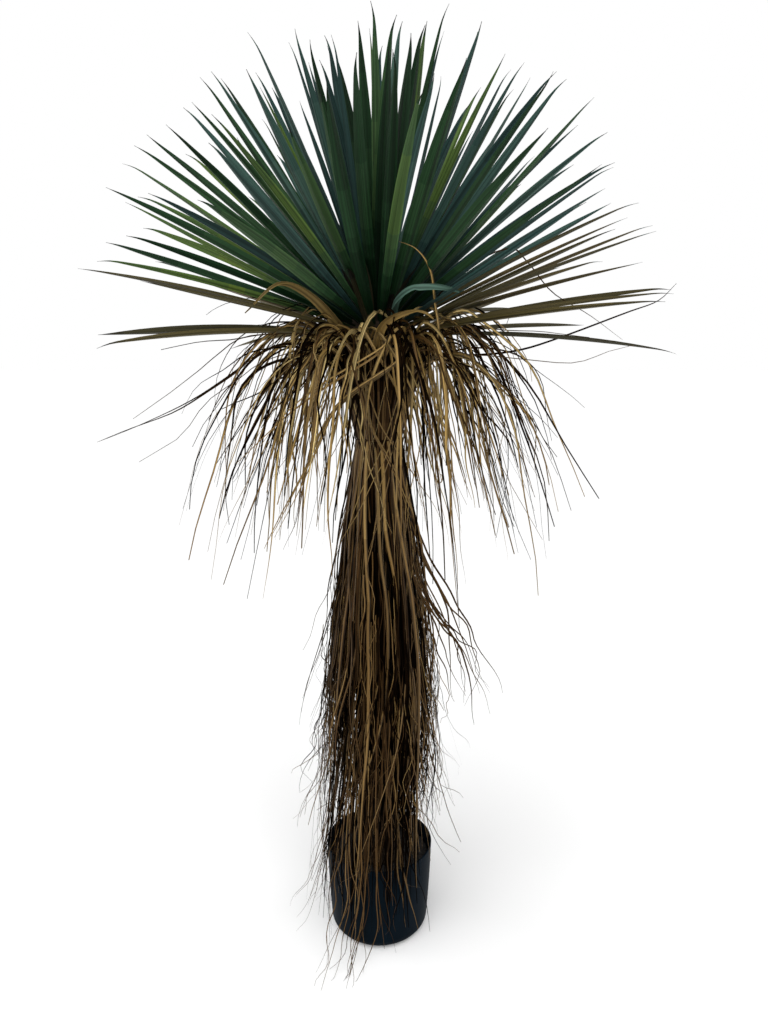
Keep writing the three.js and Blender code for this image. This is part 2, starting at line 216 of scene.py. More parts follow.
def wander(line: np.ndarray, amount: float, chance: Chance, kinks: int = 0) -> np.ndarray:
    """Lets a line stray from its course, more and more towards its tip.

    Args:
        line: Points of the line.
        amount: How far its tip may stray.
        chance: Source of random numbers.
        kinks: How often it bends sharply.

    Returns:
        The strayed line, never below the floor.
    """
    places = np.linspace(0, 1, len(line))
    strayed = line.copy()
    for waves in STRAY_WAVES:
        push = chance.normal(0, amount / waves**STRAY_FADE, 3) * STRAY_PUSH
        swing = np.sin(2 * math.pi * (waves * places + chance.random()))
        strayed += np.outer(swing * places, push)
    for _ in range(kinks):
        beyond = np.maximum(places - chance.uniform(*KINK_PLACES), 0)
        strayed += np.outer(beyond, chance.normal(0, KINK_GAIN * amount, 3) * KINK_PUSH)
    strayed[:, 2] = np.maximum(strayed[:, 2], FLOOR_CLEARANCE)
    return strayed


# Finishes


class Noise(NamedTuple):
    """A cloudy pattern on a solid."""

    scale: float
    detail: float
    stretch: Triple = (1.0, 1.0, 1.0)


class Nodes:
    """A node tree with short ways to add, set and join its nodes."""

    def __init__(self, tree: bpy.types.NodeTree) -> None:
        """Takes up a tree."""
        self.nodes, self.links = tree.nodes, tree.links

    def feed(self, socket: Socket, source: Feed) -> None:
        """Joins a socket to another node's output, or sets it to a constant.

        Args:
            socket: The socket.
            source: The output or the constant.
        """
        if isinstance(source, Socket):
            self.links.new(source, socket)
        else:
            socket.default_value = source

    def add(self, kind: str, feeds: dict[str | int, Feed] | None = None) -> bpy.types.Node:
        """Adds a node.

        Args:
            kind: Its kind.
            feeds: What its sockets are fed with, by their names or places.

        Returns:
            The node.
        """
        node = self.nodes.new(kind)
        for socket, source in (feeds or {}).items():
            self.feed(node.inputs[socket], source)
        return node

    def math(self, operation: str, *operands: Feed) -> Socket:
        """Works out a number.

        Args:
            operation: What is done.
            operands: What it is done with.

        Returns:
            The result.
        """
        node = self.add("ShaderNodeMath", dict(enumerate(operands)))
        node.operation = operation
        return node.outputs[0]


class Shader(Nodes):
    """A material's node tree with the patterns that the finishes share."""

    def __init__(self, name: str) -> None:
        """Starts a material with a plain surface shader.

        Args:
            name: Its name.
        """
        self.material = bpy.data.materials.new(name)
        self.material.use_nodes = True
        super().__init__(self.material.node_tree)
        self.surface = self.nodes["Principled BSDF"]

    def give(self, socket: str, source: Feed) -> None:
        """Gives one of the surface's sockets a pattern or a constant."""
        self.feed(self.surface.inputs[socket], source)

    def attribute(self, name: str) -> Socket:
        """Reads a number that the piece's mesh carries at each point.

        Args:
            name: Name of the number.

        Returns:
            The number.
        """
        node = self.add("ShaderNodeAttribute")
        node.attribute_name = name
        return node.outputs["Fac"]

    def on_blade(self, scales: Triple) -> Socket:
        """Finds the place on a blade.

        Args:
            scales: Factors across it, along it and from one blade to the next.

        Returns:
            The place, scaled.
        """
        names = ("across", "along", "tone")
        parts = [self.math("MULTIPLY", self.attribute(n), s) for n, s in zip(names, scales)]
        return self.add("ShaderNodeCombineXYZ", dict(enumerate(parts))).outputs[0]

    def noise(self, where: Socket, detail: float, scale: float = 1.0) -> Socket:
        """Returns a cloudy pattern from 0 to 1."""
        feeds = {"Vector": where, "Scale": scale, "Detail": detail}
        return self.add("ShaderNodeTexNoise", feeds).outputs["Fac"]

    def cloud(self, noise: Noise) -> Socket:
        """Lays a cloudy pattern on a solid.

        Args:
            noise: The pattern, in metres and stretched along the solid's axes.

        Returns:
            The pattern.
        """
        place = self.add("ShaderNodeTexCoord").outputs["Object"]
        stretched = self.add("ShaderNodeMapping", {"Vector": place, "Scale": noise.stretch})
        return self.noise(stretched.outputs[0], noise.detail, noise.scale)

    def colours(self, pattern: Socket, colour: Triple, tints: Profile) -> Socket:
        """Makes a colour for each value of a pattern.

        Args:
            pattern: The pattern.
            colour: The base colour.
            tints: How much darker or lighter it is at values of the pattern, in order.

        Returns:
            The colour.
        """
        node = self.add("ShaderNodeValToRGB", {"Fac": pattern})
        ramp = node.color_ramp
        while len(ramp.elements) < len(tints):
            ramp.elements.new(1.0)
        for element, (position, tint) in zip(ramp.elements, tints):
            element.position = position
            element.color = (*(min(1.0, channel * tint) for channel in colour), 1.0)
        return node.outputs["Color"]

    def edge_shade_and_highlight(self, pattern: Socket, depth: float, power: float) -> Socket:
        """Makes a pattern fall or rise towards the edges of a blade: painted shade where it falls, a
        painted highlight where it rises.

        Args:
            pattern: The pattern.
            depth: How far it falls, less than 0 where it rises.
            power: How close to the edges it stays, 1 for all over the blade.

        Returns:
            The changed pattern.
        """
        across = self.attribute("across")
        square = self.math("MULTIPLY", across, across)
        return self.math("MULTIPLY_ADD", self.math("POWER", square, power), -depth, pattern)

    def spread(self, pattern: Socket, span: Span) -> Socket:
        """Returns a pattern from 0 to 1 spread over a span."""
        feeds = {"Value": pattern, "To Min": span[0], "To Max": span[1]}
        return self.add("ShaderNodeMapRange", feeds).outputs["Result"]

    def relief(self, height: Socket, strength: float, depth: float) -> None:
        """Raises the surface by a pattern."""
        feeds = {"Height": height, "Strength": strength, "Distance": depth}
        self.give("Normal", self.add("ShaderNodeBump", feeds).outputs["Normal"])


@dataclass(frozen=True)
class Finish:
    """A finish with one base colour."""

    name: str
    colour: Triple

    def material(self) -> bpy.types.Material:
        """Makes the finish's material on first use.

        Returns:
            The material.
        """
        made = bpy.data.materials.get(self.name)
        if made is None:
            shader = Shader(self.name)
            self.dress(shader)
            made = shader.material
        return made

    def dress(self, shader: Shader) -> None:
        """Builds the finish's nodes in a new material."""
        raise NotImplementedError


@dataclass(frozen=True)
class LeafFinish(Finish):
    """Satin moulded leaf with streaks and fine veins from root to tip, and a painted highlight along
    its edges.
    """

    roughness: Span = (0.38, 0.55)
    specular: float = 0.10
    streak_scale: Triple = (4.5, 0.9, 40.0)
    streak_detail: float = 3.0
    streak_tints: Profile = ((0.38, 0.55), (0.62, 1.4))
    # Below 0 the colour lightens towards the blade's edges: a painted highlight.
    edge: float = -0.2
    edge_power: float = 3.0
    vein_scale: Triple = (26.0, 2.5, 90.0)
    vein_detail: float = 1.0
    vein_depth: float = 0.0005
    vein_strength: float = 0.35
    sheen_detail: float = 2.0

    def shine(self) -> float:
        """Returns how strongly the surface mirrors light."""
        return self.specular

    def dress(self, shader: Shader) -> None:
        """Adds streaks and veins that follow the blade.

        Args:
            shader: The material to dress.
        """
        streaks = shader.noise(shader.on_blade(self.streak_scale), self.streak_detail)
        # Towards the edges the streaks lighten on leaves, a painted highlight, and darken on dry
        # strips, painted shade.
        streaks = shader.edge_shade_and_highlight(streaks, self.edge, self.edge_power)
        fine = shader.on_blade(self.vein_scale)
        shader.give("Base Color", shader.colours(streaks, self.colour, self.streak_tints))
        sheen = shader.noise(fine, self.sheen_detail)
        shader.give("Roughness", shader.spread(sheen, self.roughness))
        shader.give("Specular IOR Level", self.shine())
        shader.relief(shader.noise(fine, self.vein_detail), self.vein_strength, self.vein_depth)


@dataclass(frozen=True)
class DryFinish(LeafFinish):
    """Dry strip of dead leaf with split fibres, with painted shade darkening its edges."""

    roughness: Span = (0.42, 0.62)
    specular: float = 0.22
    streak_tints: Profile = ((0.38, 0.22), (0.62, 1.75))
    # The colour darkens towards the strip's edges: painted shade on its rounded face.
    edge: float = 0.16
    edge_power: float = 1.0
    vein_scale: Triple = (8.0, 2.5, 90.0)
    vein_depth: float = 0.0006
    vein_strength: float = 0.5
    full_shine: float = 0.16

    def shine(self) -> float:
        """Returns how strongly the surface mirrors light, less on dark strips."""
        return self.specular * min(1.0, self.colour[0] / self.full_shine)


@dataclass(frozen=True)
class SolidFinish(Finish):
    """Finish of a solid: mottled, and where it says so unevenly shiny and raised by a grain."""

    mottle: Noise
    tints: Profile
    roughness: Span
    specular: float = 0.5
    sheen: Noise | None = None
    grain: Noise | None = None
    grain_strength: float = 0.0
    grain_depth: float = 0.0

    def dress(self, shader: Shader) -> None:
        """Adds the mottling, the sheen and the grain.

        Args:
            shader: The material to dress.
        """
        mottle = shader.cloud(self.mottle)
        shader.give("Base Color", shader.colours(mottle, self.colour, self.tints))
        shader.give("Roughness", self.roughness[0])
        shader.give("Specular IOR Level", self.specular)
        if self.sheen:
            shader.give("Roughness", shader.spread(shader.cloud(self.sheen), self.roughness))
        if self.grain:
            shader.relief(shader.cloud(self.grain), self.grain_strength, self.grain_depth)


@dataclass(frozen=True)
class Ramp:
    """Finishes in order from one colour to the next, so that a shade is a place among them."""

    name: str
    kind: type[Finish]
    stops: tuple[Triple, ...]
    steps: int = 2

    def materials(self) -> list[bpy.types.Material]:
        """Makes the materials in order, with some between each two colours.

        Returns:
            The materials.
        """
        shades = np.linspace(0, len(self.stops) - 1, (len(self.stops) - 1) * self.steps + 1)
        channels = np.array(self.stops).T
        made = []
        for number, shade in enumerate(shades):
            colour = tuple(float(np.interp(shade, range(len(c)), c)) for c in channels)
            made.append(self.kind(f"{self.name}_{number}", colour).material())
        return made


# From fresh to deep green, a dark tip, then the blue-greens, then withered
GREENS = Ramp(
    "leaf_green",
    LeafFinish,
    (
        (0.108, 0.15, 0.021),
        (0.064, 0.11, 0.024),
        (0.037, 0.076, 0.026),
        (0.019, 0.050, 0.019),
        (0.009, 0.031, 0.011),
        (0.003, 0.0140, 0.0045),
        (0.006, 0.007, 0.005),
        (0.05, 0.095, 0.072),
        (0.03, 0.064, 0.052),
        (0.017, 0.042, 0.037),
        (0.009, 0.024, 0.022),
        (0.085, 0.062, 0.022),
        (0.04, 0.034, 0.013),
    ),
)
# From ochre to nearly black
BROWNS = Ramp(
    "leaf_brown",
    LeafFinish,
    (
        (0.18, 0.115, 0.034),
        (0.075, 0.058, 0.02),
        (0.045, 0.038, 0.014),
        (0.028, 0.025, 0.010),
        (0.009, 0.008, 0.005),
    ),
)
# From nearly black to pale straw
STRAWS = Ramp(
    "dry_strip",
    DryFinish,
    (
        (0.0025, 0.0013, 0.0006),
        (0.013, 0.0060, 0.0017),
        (0.043, 0.021, 0.0056),
        (0.094, 0.050, 0.0135),
        (0.168, 0.097, 0.027),
        (0.31, 0.2, 0.062),
        (0.52, 0.385, 0.155),
    ),
)
HANDLING_MARKS = Noise(22.0, 6.0, (1.0, 1.0, 0.35))
POT_PLASTIC = SolidFinish(
    "pot_plastic",
    (0.0011, 0.0042, 0.0076),
    mottle=HANDLING_MARKS,
    tints=((0.35, 0.8), (0.7, 1.3)),
    sheen=HANDLING_MARKS,
    roughness=(0.42, 0.56),
    specular=0.022,
    grain=Noise(900.0, 2.0),
    grain_strength=0.12,
    grain_depth=0.0004,
)
CEMENT_MOTTLE = Noise(140.0, 8.0)
CEMENT = SolidFinish(
    "dark_cement",
    (0.008, 0.007, 0.006),
    mottle=CEMENT_MOTTLE,
    tints=((0.3, 0.5), (0.7, 2.2)),
    sheen=CEMENT_MOTTLE,
    roughness=(0.85, 1.0),
    grain=Noise(700.0, 4.0),
    grain_strength=0.8,
    grain_depth=0.001,
)
BARK_GRAIN = Noise(420.0, 5.0)
BARK = SolidFinish(
    "dark_bark",
    (0.022, 0.015, 0.009),
    mottle=Noise(60.0, 6.0, (1.0, 1.0, 2.5)),
    tints=((0.3, 0.45), (0.55, 1.0), (0.8, 2.4)),
    sheen=BARK_GRAIN,
    roughness=(0.8, 0.98),
    specular=0.2,
    grain=BARK_GRAIN,
    grain_strength=0.7,
    grain_depth=0.0015,
)
PALE_FLOOR = SolidFinish(
    "pale_floor",
    (0.88, 0.88, 0.88),
    mottle=Noise(2.0, 3.0),
    tints=((0.3, 0.99), (0.7, 1.0)),
    roughness=(0.9, 0.9),
    specular=0.1,
)


# Meshes


def new_piece(name: str, mesh: bpy.types.Mesh) -> bpy.types.Object:
    """Puts a mesh in the scene as an object at the origin.

    Args:
        name: Name of the object.
        mesh: Its mesh.

    Returns:
        The object.
    """
    piece = bpy.data.objects.new(name, mesh)
    bpy.context.scene.collection.objects.link(piece)
    return piece


def discard(piece: bpy.types.Object) -> None:
    """Removes a helper object and its mesh.

    Args:
        piece: The helper object.
    """
    mesh = piece.data
    bpy.data.objects.remove(piece)
    bpy.data.meshes.remove(mesh)


def smooth(mesh: bpy.types.Mesh, sharp: float = SHARP_EDGE) -> None:
    """Shades a mesh smoothly apart from edges that are sharper than an angle."""
    mesh.shade_smooth()
    mesh.set_sharp_from_angle(angle=math.radians(sharp))


def keep(piece: bpy.types.Object, slot: Slot, *nodes: str) -> None:
    """Makes an object a piece of the part.

    Args:
        piece: The finished object.
        slot: The record's slot; not used.
        nodes: The solids that it stands for.
    """
    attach(piece, BODY)
    if nodes:
        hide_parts(*nodes)
    piece.data.calc_loop_triangles()
    LOG.info("%s: %d triangles", piece.name, len(piece.data.loop_triangles))


def keep_solid(
    mesh: bpy.types.Mesh, finish: Finish, slot: Slot, *nodes: str, sharp: float = SHARP_EDGE
) -> None:
    """Dresses a mesh and makes it a piece of its own name.

    Args:
        mesh: The mesh.
        finish: Its finish.
        slot: The record's slot, passed on.
        nodes: The solids that it stands for.
        sharp: Angle past which its edges stay sharp.
    """
    mesh.materials.append(finish.material())
    smooth(mesh, sharp)
    keep(new_piece(mesh.name, mesh), slot, *nodes)


def turned(name: str, profile: Sequence[Span], sides: int) -> bpy.types.Mesh:
    """Turns a profile round Z into a closed mesh with faces pointing out.

    Args:
        name: Name of the mesh.
        profile: Radius and height of each point, from the axis at the foot round the outside to
            the axis again.
        sides: Number of steps round the axis.

    Returns:
        The mesh.
    """
    rings = profile[1:-1]
    angles = np.linspace(0, 2 * math.pi, sides, endpoint=False)
    points = [(r * math.cos(a), r * math.sin(a), z) for r, z in rings for a in angles]
    foot, top = len(points), len(points) + 1
    points += [(0, 0, profile[0][1]), (0, 0, profile[-1][1])]
    faces = []
    for k in range(sides):
        after = (k + 1) % sides
        faces.append((foot, after, k))
        for row in range(len(rings) - 1):
            low, high = row * sides, (row + 1) * sides
            faces.append((low + k, low + after, high + after, high + k))
        last = (len(rings) - 1) * sides
        faces.append((last + k, last + after, top))
    mesh = bpy.data.meshes.new(name)
    mesh.from_pydata(points, [], faces)
    return mesh


@dataclass(frozen=True)
class Section:
    """Section of a blade of half width 1: folded up along the midrib and thickest there."""

    name: str
    fold: float
    thickness: float
    inner: tuple[float, ...]
    fold_power: float = 1.3

    def outline(self) -> list[Span]:
        """Lays out the section.

        Returns:
            Its points, left edge first, then along the underside and back.
        """
        trough = {x: self.fold * abs(x) ** self.fold_power for x in (-1.0, *self.inner, 1.0)}
        body = {x: self.thickness * (1 - x * x) for x in self.inner}
        under = [(x, trough[x] - body[x]) for x in self.inner]
        upper = [(x, trough[x] + body[x]) for x in reversed(self.inner)]
        return [(-1.0, trough[-1.0]), *under, (1.0, trough[1.0]), *upper]

    def helper(self) -> bpy.types.Object:
        """Makes the outline a closed loop that knows its place across the blade.

        Returns:
            A helper object.
        """
        outline = self.outline()
        mesh = bpy.data.meshes.new(f"section_{self.name}")
        loop = [(k, (k + 1) % len(outline)) for k in range(len(outline))]
        mesh.from_pydata([(x, y, 0) for x, y in outline], loop, [])
        across = mesh.attributes.new("across", "FLOAT", "POINT")
        across.data.foreach_set("value", [x for x, _ in outline])
        return new_piece(f"section_{self.name}", mesh)


LEAF_SECTION = Section("leaf", fold=0.7, thickness=0.06, inner=(-0.5, 0.0, 0.5))
STRIP_SECTION = Section("strip", fold=0.55, thickness=0.1, inner=(-0.45, 0.45))
FIBRE_SECTION = Section("fibre", fold=0.0, thickness=0.7, inner=(0.0,))


class Blade(NamedTuple):
    """A blade to be swept: its midrib, unit vectors across it, half widths and shades."""

    line: np.ndarray
    sides: np.ndarray
    half_widths: np.ndarray
    shades: np.ndarray


def carrier(name: str, blades: Sequence[Blade]) -> bpy.types.Object:
    """Makes a helper object whose mesh holds the blades' lines as edges with their values.

    Args:
        name: Name of the piece that the blades become.
        blades: The blades.

    Returns:
        The helper object.
    """
    lines, sides, half_widths, shades = zip(*blades)
    counts = [len(line) for line in lines]
    starts = np.cumsum([0, *counts[:-1]]).tolist()
    edges = [(s + k, s + k + 1) for s, n in zip(starts, counts) for k in range(n - 1)]
    mesh = bpy.data.meshes.new(f"paths_{name}")
    mesh.from_pydata(np.concatenate(lines).tolist(), edges, [])
    numbers = {
        "half_width": np.concatenate(half_widths),
        "shade": np.concatenate(shades),
        "along": np.concatenate([np.linspace(0, 1, n) for n in counts]),
        "tone": np.repeat([pick((0, 1), k + 1, 5) for k in range(len(counts))], counts),
    }
    for key, values in numbers.items():
        mesh.attributes.new(key, "FLOAT", "POINT").data.foreach_set("value", values)
    side = mesh.attributes.new("side", "FLOAT_VECTOR", "POINT")
    side.data.foreach_set("vector", np.concatenate(sides).ravel())
    return new_piece(f"paths_{name}", mesh)


class Tree(Nodes):
    """A Geometry Nodes tree."""

    def __init__(self, name: str) -> None:
        """Starts a tree that takes and gives a geometry.

        Args:
            name: Its name.
        """
        self.group = bpy.data.node_groups.new(name, "GeometryNodeTree")
        super().__init__(self.group)
        for way in ("INPUT", "OUTPUT"):
            self.group.interface.new_socket("Geometry", in_out=way, socket_type="NodeSocketGeometry")
        self.given = self.add("NodeGroupInput").outputs
        self.result = self.add("NodeGroupOutput").inputs["Geometry"]

    def named_input(self, name: str, kind: str) -> str:
        """Adds a named input and returns its identifier."""
        return self.group.interface.new_socket(name, in_out="INPUT", socket_type=kind).identifier

    def attribute(self, name: str, kind: str) -> Socket:
        """Reads a value that the geometry carries at each point.

        Args:
            name: Name of the value.
            kind: Its data type.

        Returns:
            The value.
        """
        node = self.add("GeometryNodeInputNamedAttribute", {"Name": name})
        node.data_type = kind
        return node.outputs["Attribute"]

    def evaluate(
        self, helper: bpy.types.Object, name: str, values: dict[str, object]
    ) -> bpy.types.Object:
        """Runs the tree on a helper object and keeps the result as a plain mesh.

        Args:
            helper: The helper object, which is removed.
            name: Name of the new object.
            values: The tree's inputs by identifier.

        Returns:
            The new object.
        """
        modifier = helper.modifiers.new(self.group.name, "NODES")
        modifier.node_group = self.group
        for identifier, value in values.items():
            modifier[identifier] = value
        graph = bpy.context.evaluated_depsgraph_get()
        mesh = bpy.data.meshes.new_from_object(helper.evaluated_get(graph))
        mesh.name = name
        discard(helper)
        smooth(mesh)
        return new_piece(name, mesh)


class SweepTree(Tree):
    """Sweeps a section along lines and deals out a ramp of finishes by shade."""

    def __init__(self, ramp: Ramp) -> None:
        """Builds the tree.

        Args:
            ramp: The finishes that it deals out.
        """
        super().__init__(f"sweep_{ramp.name}")
        self.section = self.named_input("Section", "NodeSocketObject")
        self.width = self.named_input("Width Scale", "NodeSocketFloat")
        realized = self.add("GeometryNodeRealizeInstances", {"Geometry": self.swept()})
        self.feed(self.result, self.dealt(realized.outputs["Geometry"], ramp))

    def swept(self) -> Socket:
        """Adds the nodes that sweep the section.

        Returns:
            The swept geometry.
        """
        curves = self.add("GeometryNodeMeshToCurve", {"Mesh": self.given["Geometry"]})
        facing = self.add("GeometryNodeSetCurveNormal", {"Curve": curves.outputs["Curve"]})
        facing.mode = "FREE"
        self.feed(facing.inputs["Normal"], self.attribute("side", "FLOAT_VECTOR"))
        section = self.add("GeometryNodeObjectInfo", {"Object": self.given["Section"]})
        outline = self.add("GeometryNodeMeshToCurve", {"Mesh": section.outputs["Geometry"]})
        half_width = self.attribute("half_width", "FLOAT")
        feeds = {
            "Curve": facing.outputs["Curve"],
            "Profile Curve": outline.outputs["Curve"],
            "Scale": self.math("MULTIPLY", half_width, self.given["Width Scale"]),
            "Fill Caps": True,
        }
        return self.add("GeometryNodeCurveToMesh", feeds).outputs["Mesh"]

    def dealt(self, geometry: Socket, ramp: Ramp) -> Socket:
        """Gives each face the finish that is nearest to its shade.

        Args:
            geometry: The swept geometry.
            ramp: The finishes in order.

        Returns:
            The geometry with its materials.
        """
        shade = self.attribute("shade", "FLOAT")
        for number, material in enumerate(ramp.materials()):
            finish = self.add("GeometryNodeSetMaterial", {"Geometry": geometry, "Material": material})
            if number > 0:
                limit = (number - 0.5) / ramp.steps
                beyond = self.add("FunctionNodeCompare", {"A": shade, "B": limit})
                beyond.operation = "GREATER_THAN"
                self.feed(finish.inputs["Selection"], beyond.outputs["Result"])
            geometry = finish.outputs["Geometry"]
        return geometry

    def sweep(self, name: str, blades: Sequence[Blade], section: Section) -> bpy.types.Object:
        """Sweeps blades into one plain mesh.

        Args:
            name: Name of the piece.
            blades: The blades.
            section: Their section.

        Returns:
            The piece.
        """
        outline = section.helper()
        values = {self.section: outline, self.width: FULL_WIDTH}
        piece = self.evaluate(carrier(name, blades), name, values)
        discard(outline)
        for spent in ("side", "half_width", "shade"):
            piece.data.attributes.remove(piece.data.attributes[spent])
        return piece


class CrumbTree(Tree):
    """Scatters crumbs over a surface."""

    scatter_seed: int = 7
    size_seed: int = 3
    turn_seed: int = 4

    def __init__(self, finish: Finish) -> None:
        """Builds the tree.

        Args:
            finish: Finish of all crumbs.
        """
        super().__init__("scatter_crumbs")
        self.density = self.named_input("Crumbs A Square Metre", "NodeSocketFloat")
        self.smallest = self.named_input("Smallest", "NodeSocketFloat")
        self.largest = self.named_input("Largest", "NodeSocketFloat")
        feeds = {
            "Mesh": self.given["Geometry"],
            "Density": self.given["Crumbs A Square Metre"],
            "Seed": self.scatter_seed,
        }
        scatter = self.add("GeometryNodeDistributePointsOnFaces", feeds)
        crumb = self.add("GeometryNodeMeshIcoSphere", {"Radius": 1.0, "Subdivisions": 1})
        turn = self.add("FunctionNodeRandomValue", {"Seed": self.turn_seed})
        turn.data_type = "FLOAT_VECTOR"
        turn.inputs["Max"].default_value = (math.tau,) * 3
        feeds = {
            "Points": scatter.outputs["Points"],
            "Instance": crumb.outputs["Mesh"],
            "Rotation": turn.outputs[0],
            "Scale": self.size(),
        }
        laid = self.add("GeometryNodeInstanceOnPoints", feeds)
        realized = self.add("GeometryNodeRealizeInstances", {"Geometry": laid.outputs["Instances"]})
        feeds = {"Geometry": realized.outputs["Geometry"], "Material": finish.material()}
        self.feed(self.result, self.add("GeometryNodeSetMaterial", feeds).outputs["Geometry"])

    def size(self) -> Socket:
        """Adds the random size of each crumb.

        Returns:
            The size.
        """
        node = self.add("FunctionNodeRandomValue", {"Seed": self.size_seed})
        node.data_type = "FLOAT"
        ends = (s for s in node.inputs if s.name in ("Min", "Max") and s.enabled)
        for end, name in zip(ends, ("Smallest", "Largest")):
            self.feed(end, self.given[name])
        return next(s for s in node.outputs if s.enabled)


# The pot, its filling and the trunk


@dataclass(frozen=True)
class Pot:
    """Tapered tub with a plain thin rim and a rounded bottom edge."""

    foot_radius: float = 0.091
    edge_round: float = 0.020
    wall: float = 0.003
    floor: float = 0.004
    belly: float = 0.0012
    sides: int = 112
    round_steps: int = 10
    wall_steps: int = 14

    def profile(self) -> list[Span]:
        """Lays out the pot's outline.

        Returns:
            Its points, from the axis under it over the rim to the axis inside.
        """
        low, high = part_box("pot")
        rim, height = high.x, high.z

        def side(z: float) -> float:
            """Returns the outer radius at a height."""
            bulge = self.belly * math.sin(math.pi * z / height)
            return lerp(self.foot_radius, rim, z / height) + bulge

        outline = [(0.0, low.z)]
        for step in range(self.round_steps + 1):
            angle = step / self.round_steps * math.pi / 2
            radius = side(self.edge_round) - self.edge_round * (1 - math.sin(angle))
            outline.append((radius, self.edge_round * (1 - math.cos(angle))))
        lip = self.wall / 2
        heights = np.linspace(self.edge_round, height - lip, self.wall_steps)[1:]
        outline += [(side(z), float(z)) for z in heights]
        for step in range(1, self.round_steps):
            angle = step / self.round_steps * math.pi
            outline.append((rim - lip + lip * math.cos(angle), height - lip + lip * math.sin(angle)))
        outline += [(side(z) - self.wall, float(z)) for z in reversed(heights)]
        outline.append((self.foot_radius - self.edge_round, self.floor))
        return [*outline, (0.0, self.floor)]

    def build(self) -> None:
        """Builds and dresses the pot."""
        keep_solid(turned("pot_shell", self.profile(), self.sides), POT_PLASTIC, Slot.POT, "pot")


@dataclass(frozen=True)
class Filling:
    """Rough dark filling in the pot with loose crumbs on it."""

    edge_gap: float = 0.0035
    depth: float = 0.02
    unevenness: float = 0.0035
    sunk: float = 0.6
    swell: float = 0.4
    long_waves: Span = (61.0, 53.0)
    long_shift: float = 1.3
    short_waves: Span = (140.0, 90.0)
    short_share: float = 0.5
    rings: int = 34
    sides: int = 96
    crumbs: float = 16000.0
    crumb_sizes: Span = (0.0012, 0.0042)

    def waves(self, x: float, y: float) -> float:
        """Returns how the top swells at a place, from about -1.5 to 1.5."""
        long = math.sin(self.long_waves[0] * x + self.long_shift) * math.cos(self.long_waves[1] * y)
        return long + self.short_share * math.sin(self.short_waves[0] * x - self.short_waves[1] * y)

    def surface(self, height: float, radius: float) -> bpy.types.Mesh:
        """Makes a closed slab with an uneven top.

        Args:
            height: Height of its top.
            radius: Its radius.

        Returns:
            The mesh.
        """
        bottom = height - self.depth
        top = [(float(r), height) for r in np.linspace(radius, 0, self.rings)]
        mesh = turned("fill_surface", [(0.0, bottom), (radius, bottom), *top], self.sides)
        for vertex in mesh.vertices:
            x, y, z = vertex.co
            if z > height - self.depth / 2:
                fall = self.unevenness * (self.sunk + self.swell * self.waves(x, y))
                vertex.co.z = z - fall
        return mesh

    def build(self) -> None:
        """Builds and dresses the filling and its crumbs."""
        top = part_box("pot_fill")[1]
        mesh = self.surface(top.z, top.x - self.edge_gap)
        keep_solid(mesh, CEMENT, Slot.FILLING, "pot_fill")
        tree = CrumbTree(CEMENT)
        smallest, largest = self.crumb_sizes
        values = {tree.density: self.crumbs, tree.smallest: smallest, tree.largest: largest}
        bed = new_piece("crumb_bed", mesh.copy())
        keep(tree.evaluate(bed, "fill_crumbs", values), Slot.FILLING)


@dataclass(frozen=True)
class Trunk:
    """Upright trunk with blocky leaf scars in staggered rows."""

    foot_flare: Profile = ((0.0, 0.046), (0.025, 0.041), (0.08, 0.037))
    shaft: Profile = ((0.575, 0.035), (0.905, 0.033), (1.09, 0.032), (1.113, 0.029), (1.165, 0.009))
    sides: int = 96
    row_height: float = 0.013
    blocks: int = 11
    steps_a_row: int = 3
    relief: Span = (-0.0045, 0.0018)
    block_relief: Span = (0.35, 1.0)
    plate_powers: tuple[int, int] = (6, 4)
    no_sharp_edge: float = 180.0

    def radius(self, height: float) -> float:
        """Finds the plain radius.

        Args:
            height: Height on the trunk.

        Returns:
            The radius there.
        """
        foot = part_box("trunk")[0].z
        flare = tuple((foot + above, radius) for above, radius in self.foot_flare)
        return float(follow((*flare, *self.shaft), height))

    def scar(self, turns: float, height: float) -> float:
        """Finds how far the bark stands out.

        Args:
            turns: Bearing in turns.
            height: Height on the trunk.

        Returns:
            The distance, less than 0 in a groove.
        """
        row = math.floor(height / self.row_height)
        column = turns * self.blocks + 0.5 * (row % 2)
        block = math.floor(column) % self.blocks
        across, up = column % 1 * 2 - 1, height / self.row_height % 1 * 2 - 1
        plate = (1 - across ** self.plate_powers[0]) * (1 - up ** self.plate_powers[1])
        return lerp(*self.relief, plate * pick(self.block_relief, block + 1, row + 1))

    def build(self) -> None:
        """Builds and dresses the trunk."""
        low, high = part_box("trunk")
        rows = int((high.z - low.z) / self.row_height * self.steps_a_row)
        heights = [float(z) for z in np.linspace(low.z, high.z, rows)]
        wall = [(self.radius(z), z) for z in heights]
        mesh = turned("trunk_bark", [(0.0, low.z), *wall, (0.0, high.z)], self.sides)
        for vertex in mesh.vertices:
            x, y, z = vertex.co
            plain = math.hypot(x, y)
            if plain > 0:
                proud = self.scar(math.atan2(y, x) / math.tau + 0.5, z)
                vertex.co.x, vertex.co.y = x * (1 + proud / plain), y * (1 + proud / plain)
        keep_solid(mesh, BARK, Slot.BARK, "trunk", sharp=self.no_sharp_edge)


# The crown


class Tone(Enum):
    """Series of shades that a leaf takes: its first stop in the ramp and the stops for each step."""

    GREEN = (0.0, 1.0)
    BLUE = (7.0, 0.6)
    WITHERED = (11.0, 0.3)


@dataclass(frozen=True)
class LeafKind:
    """One kind of sword leaf and how it varies."""

    elevations: tuple[float, ...]
    counts: tuple[int, ...]
    first_row: int
    dome_radius: float
    stray: Span
    length: Span
    bend: Span
    half_width: float
    infill: float = 0.0
    parting: float = 0.0
    front_lift: Span = (0.0, 0.0)
    front_length: float = 1.0

    def count(self, index: int, extra: bool) -> int:
        """Returns how many leaves of the solids, or extra ones between them, a whorl has."""
        return round(self.counts[index] * self.infill) if extra else self.counts[index]


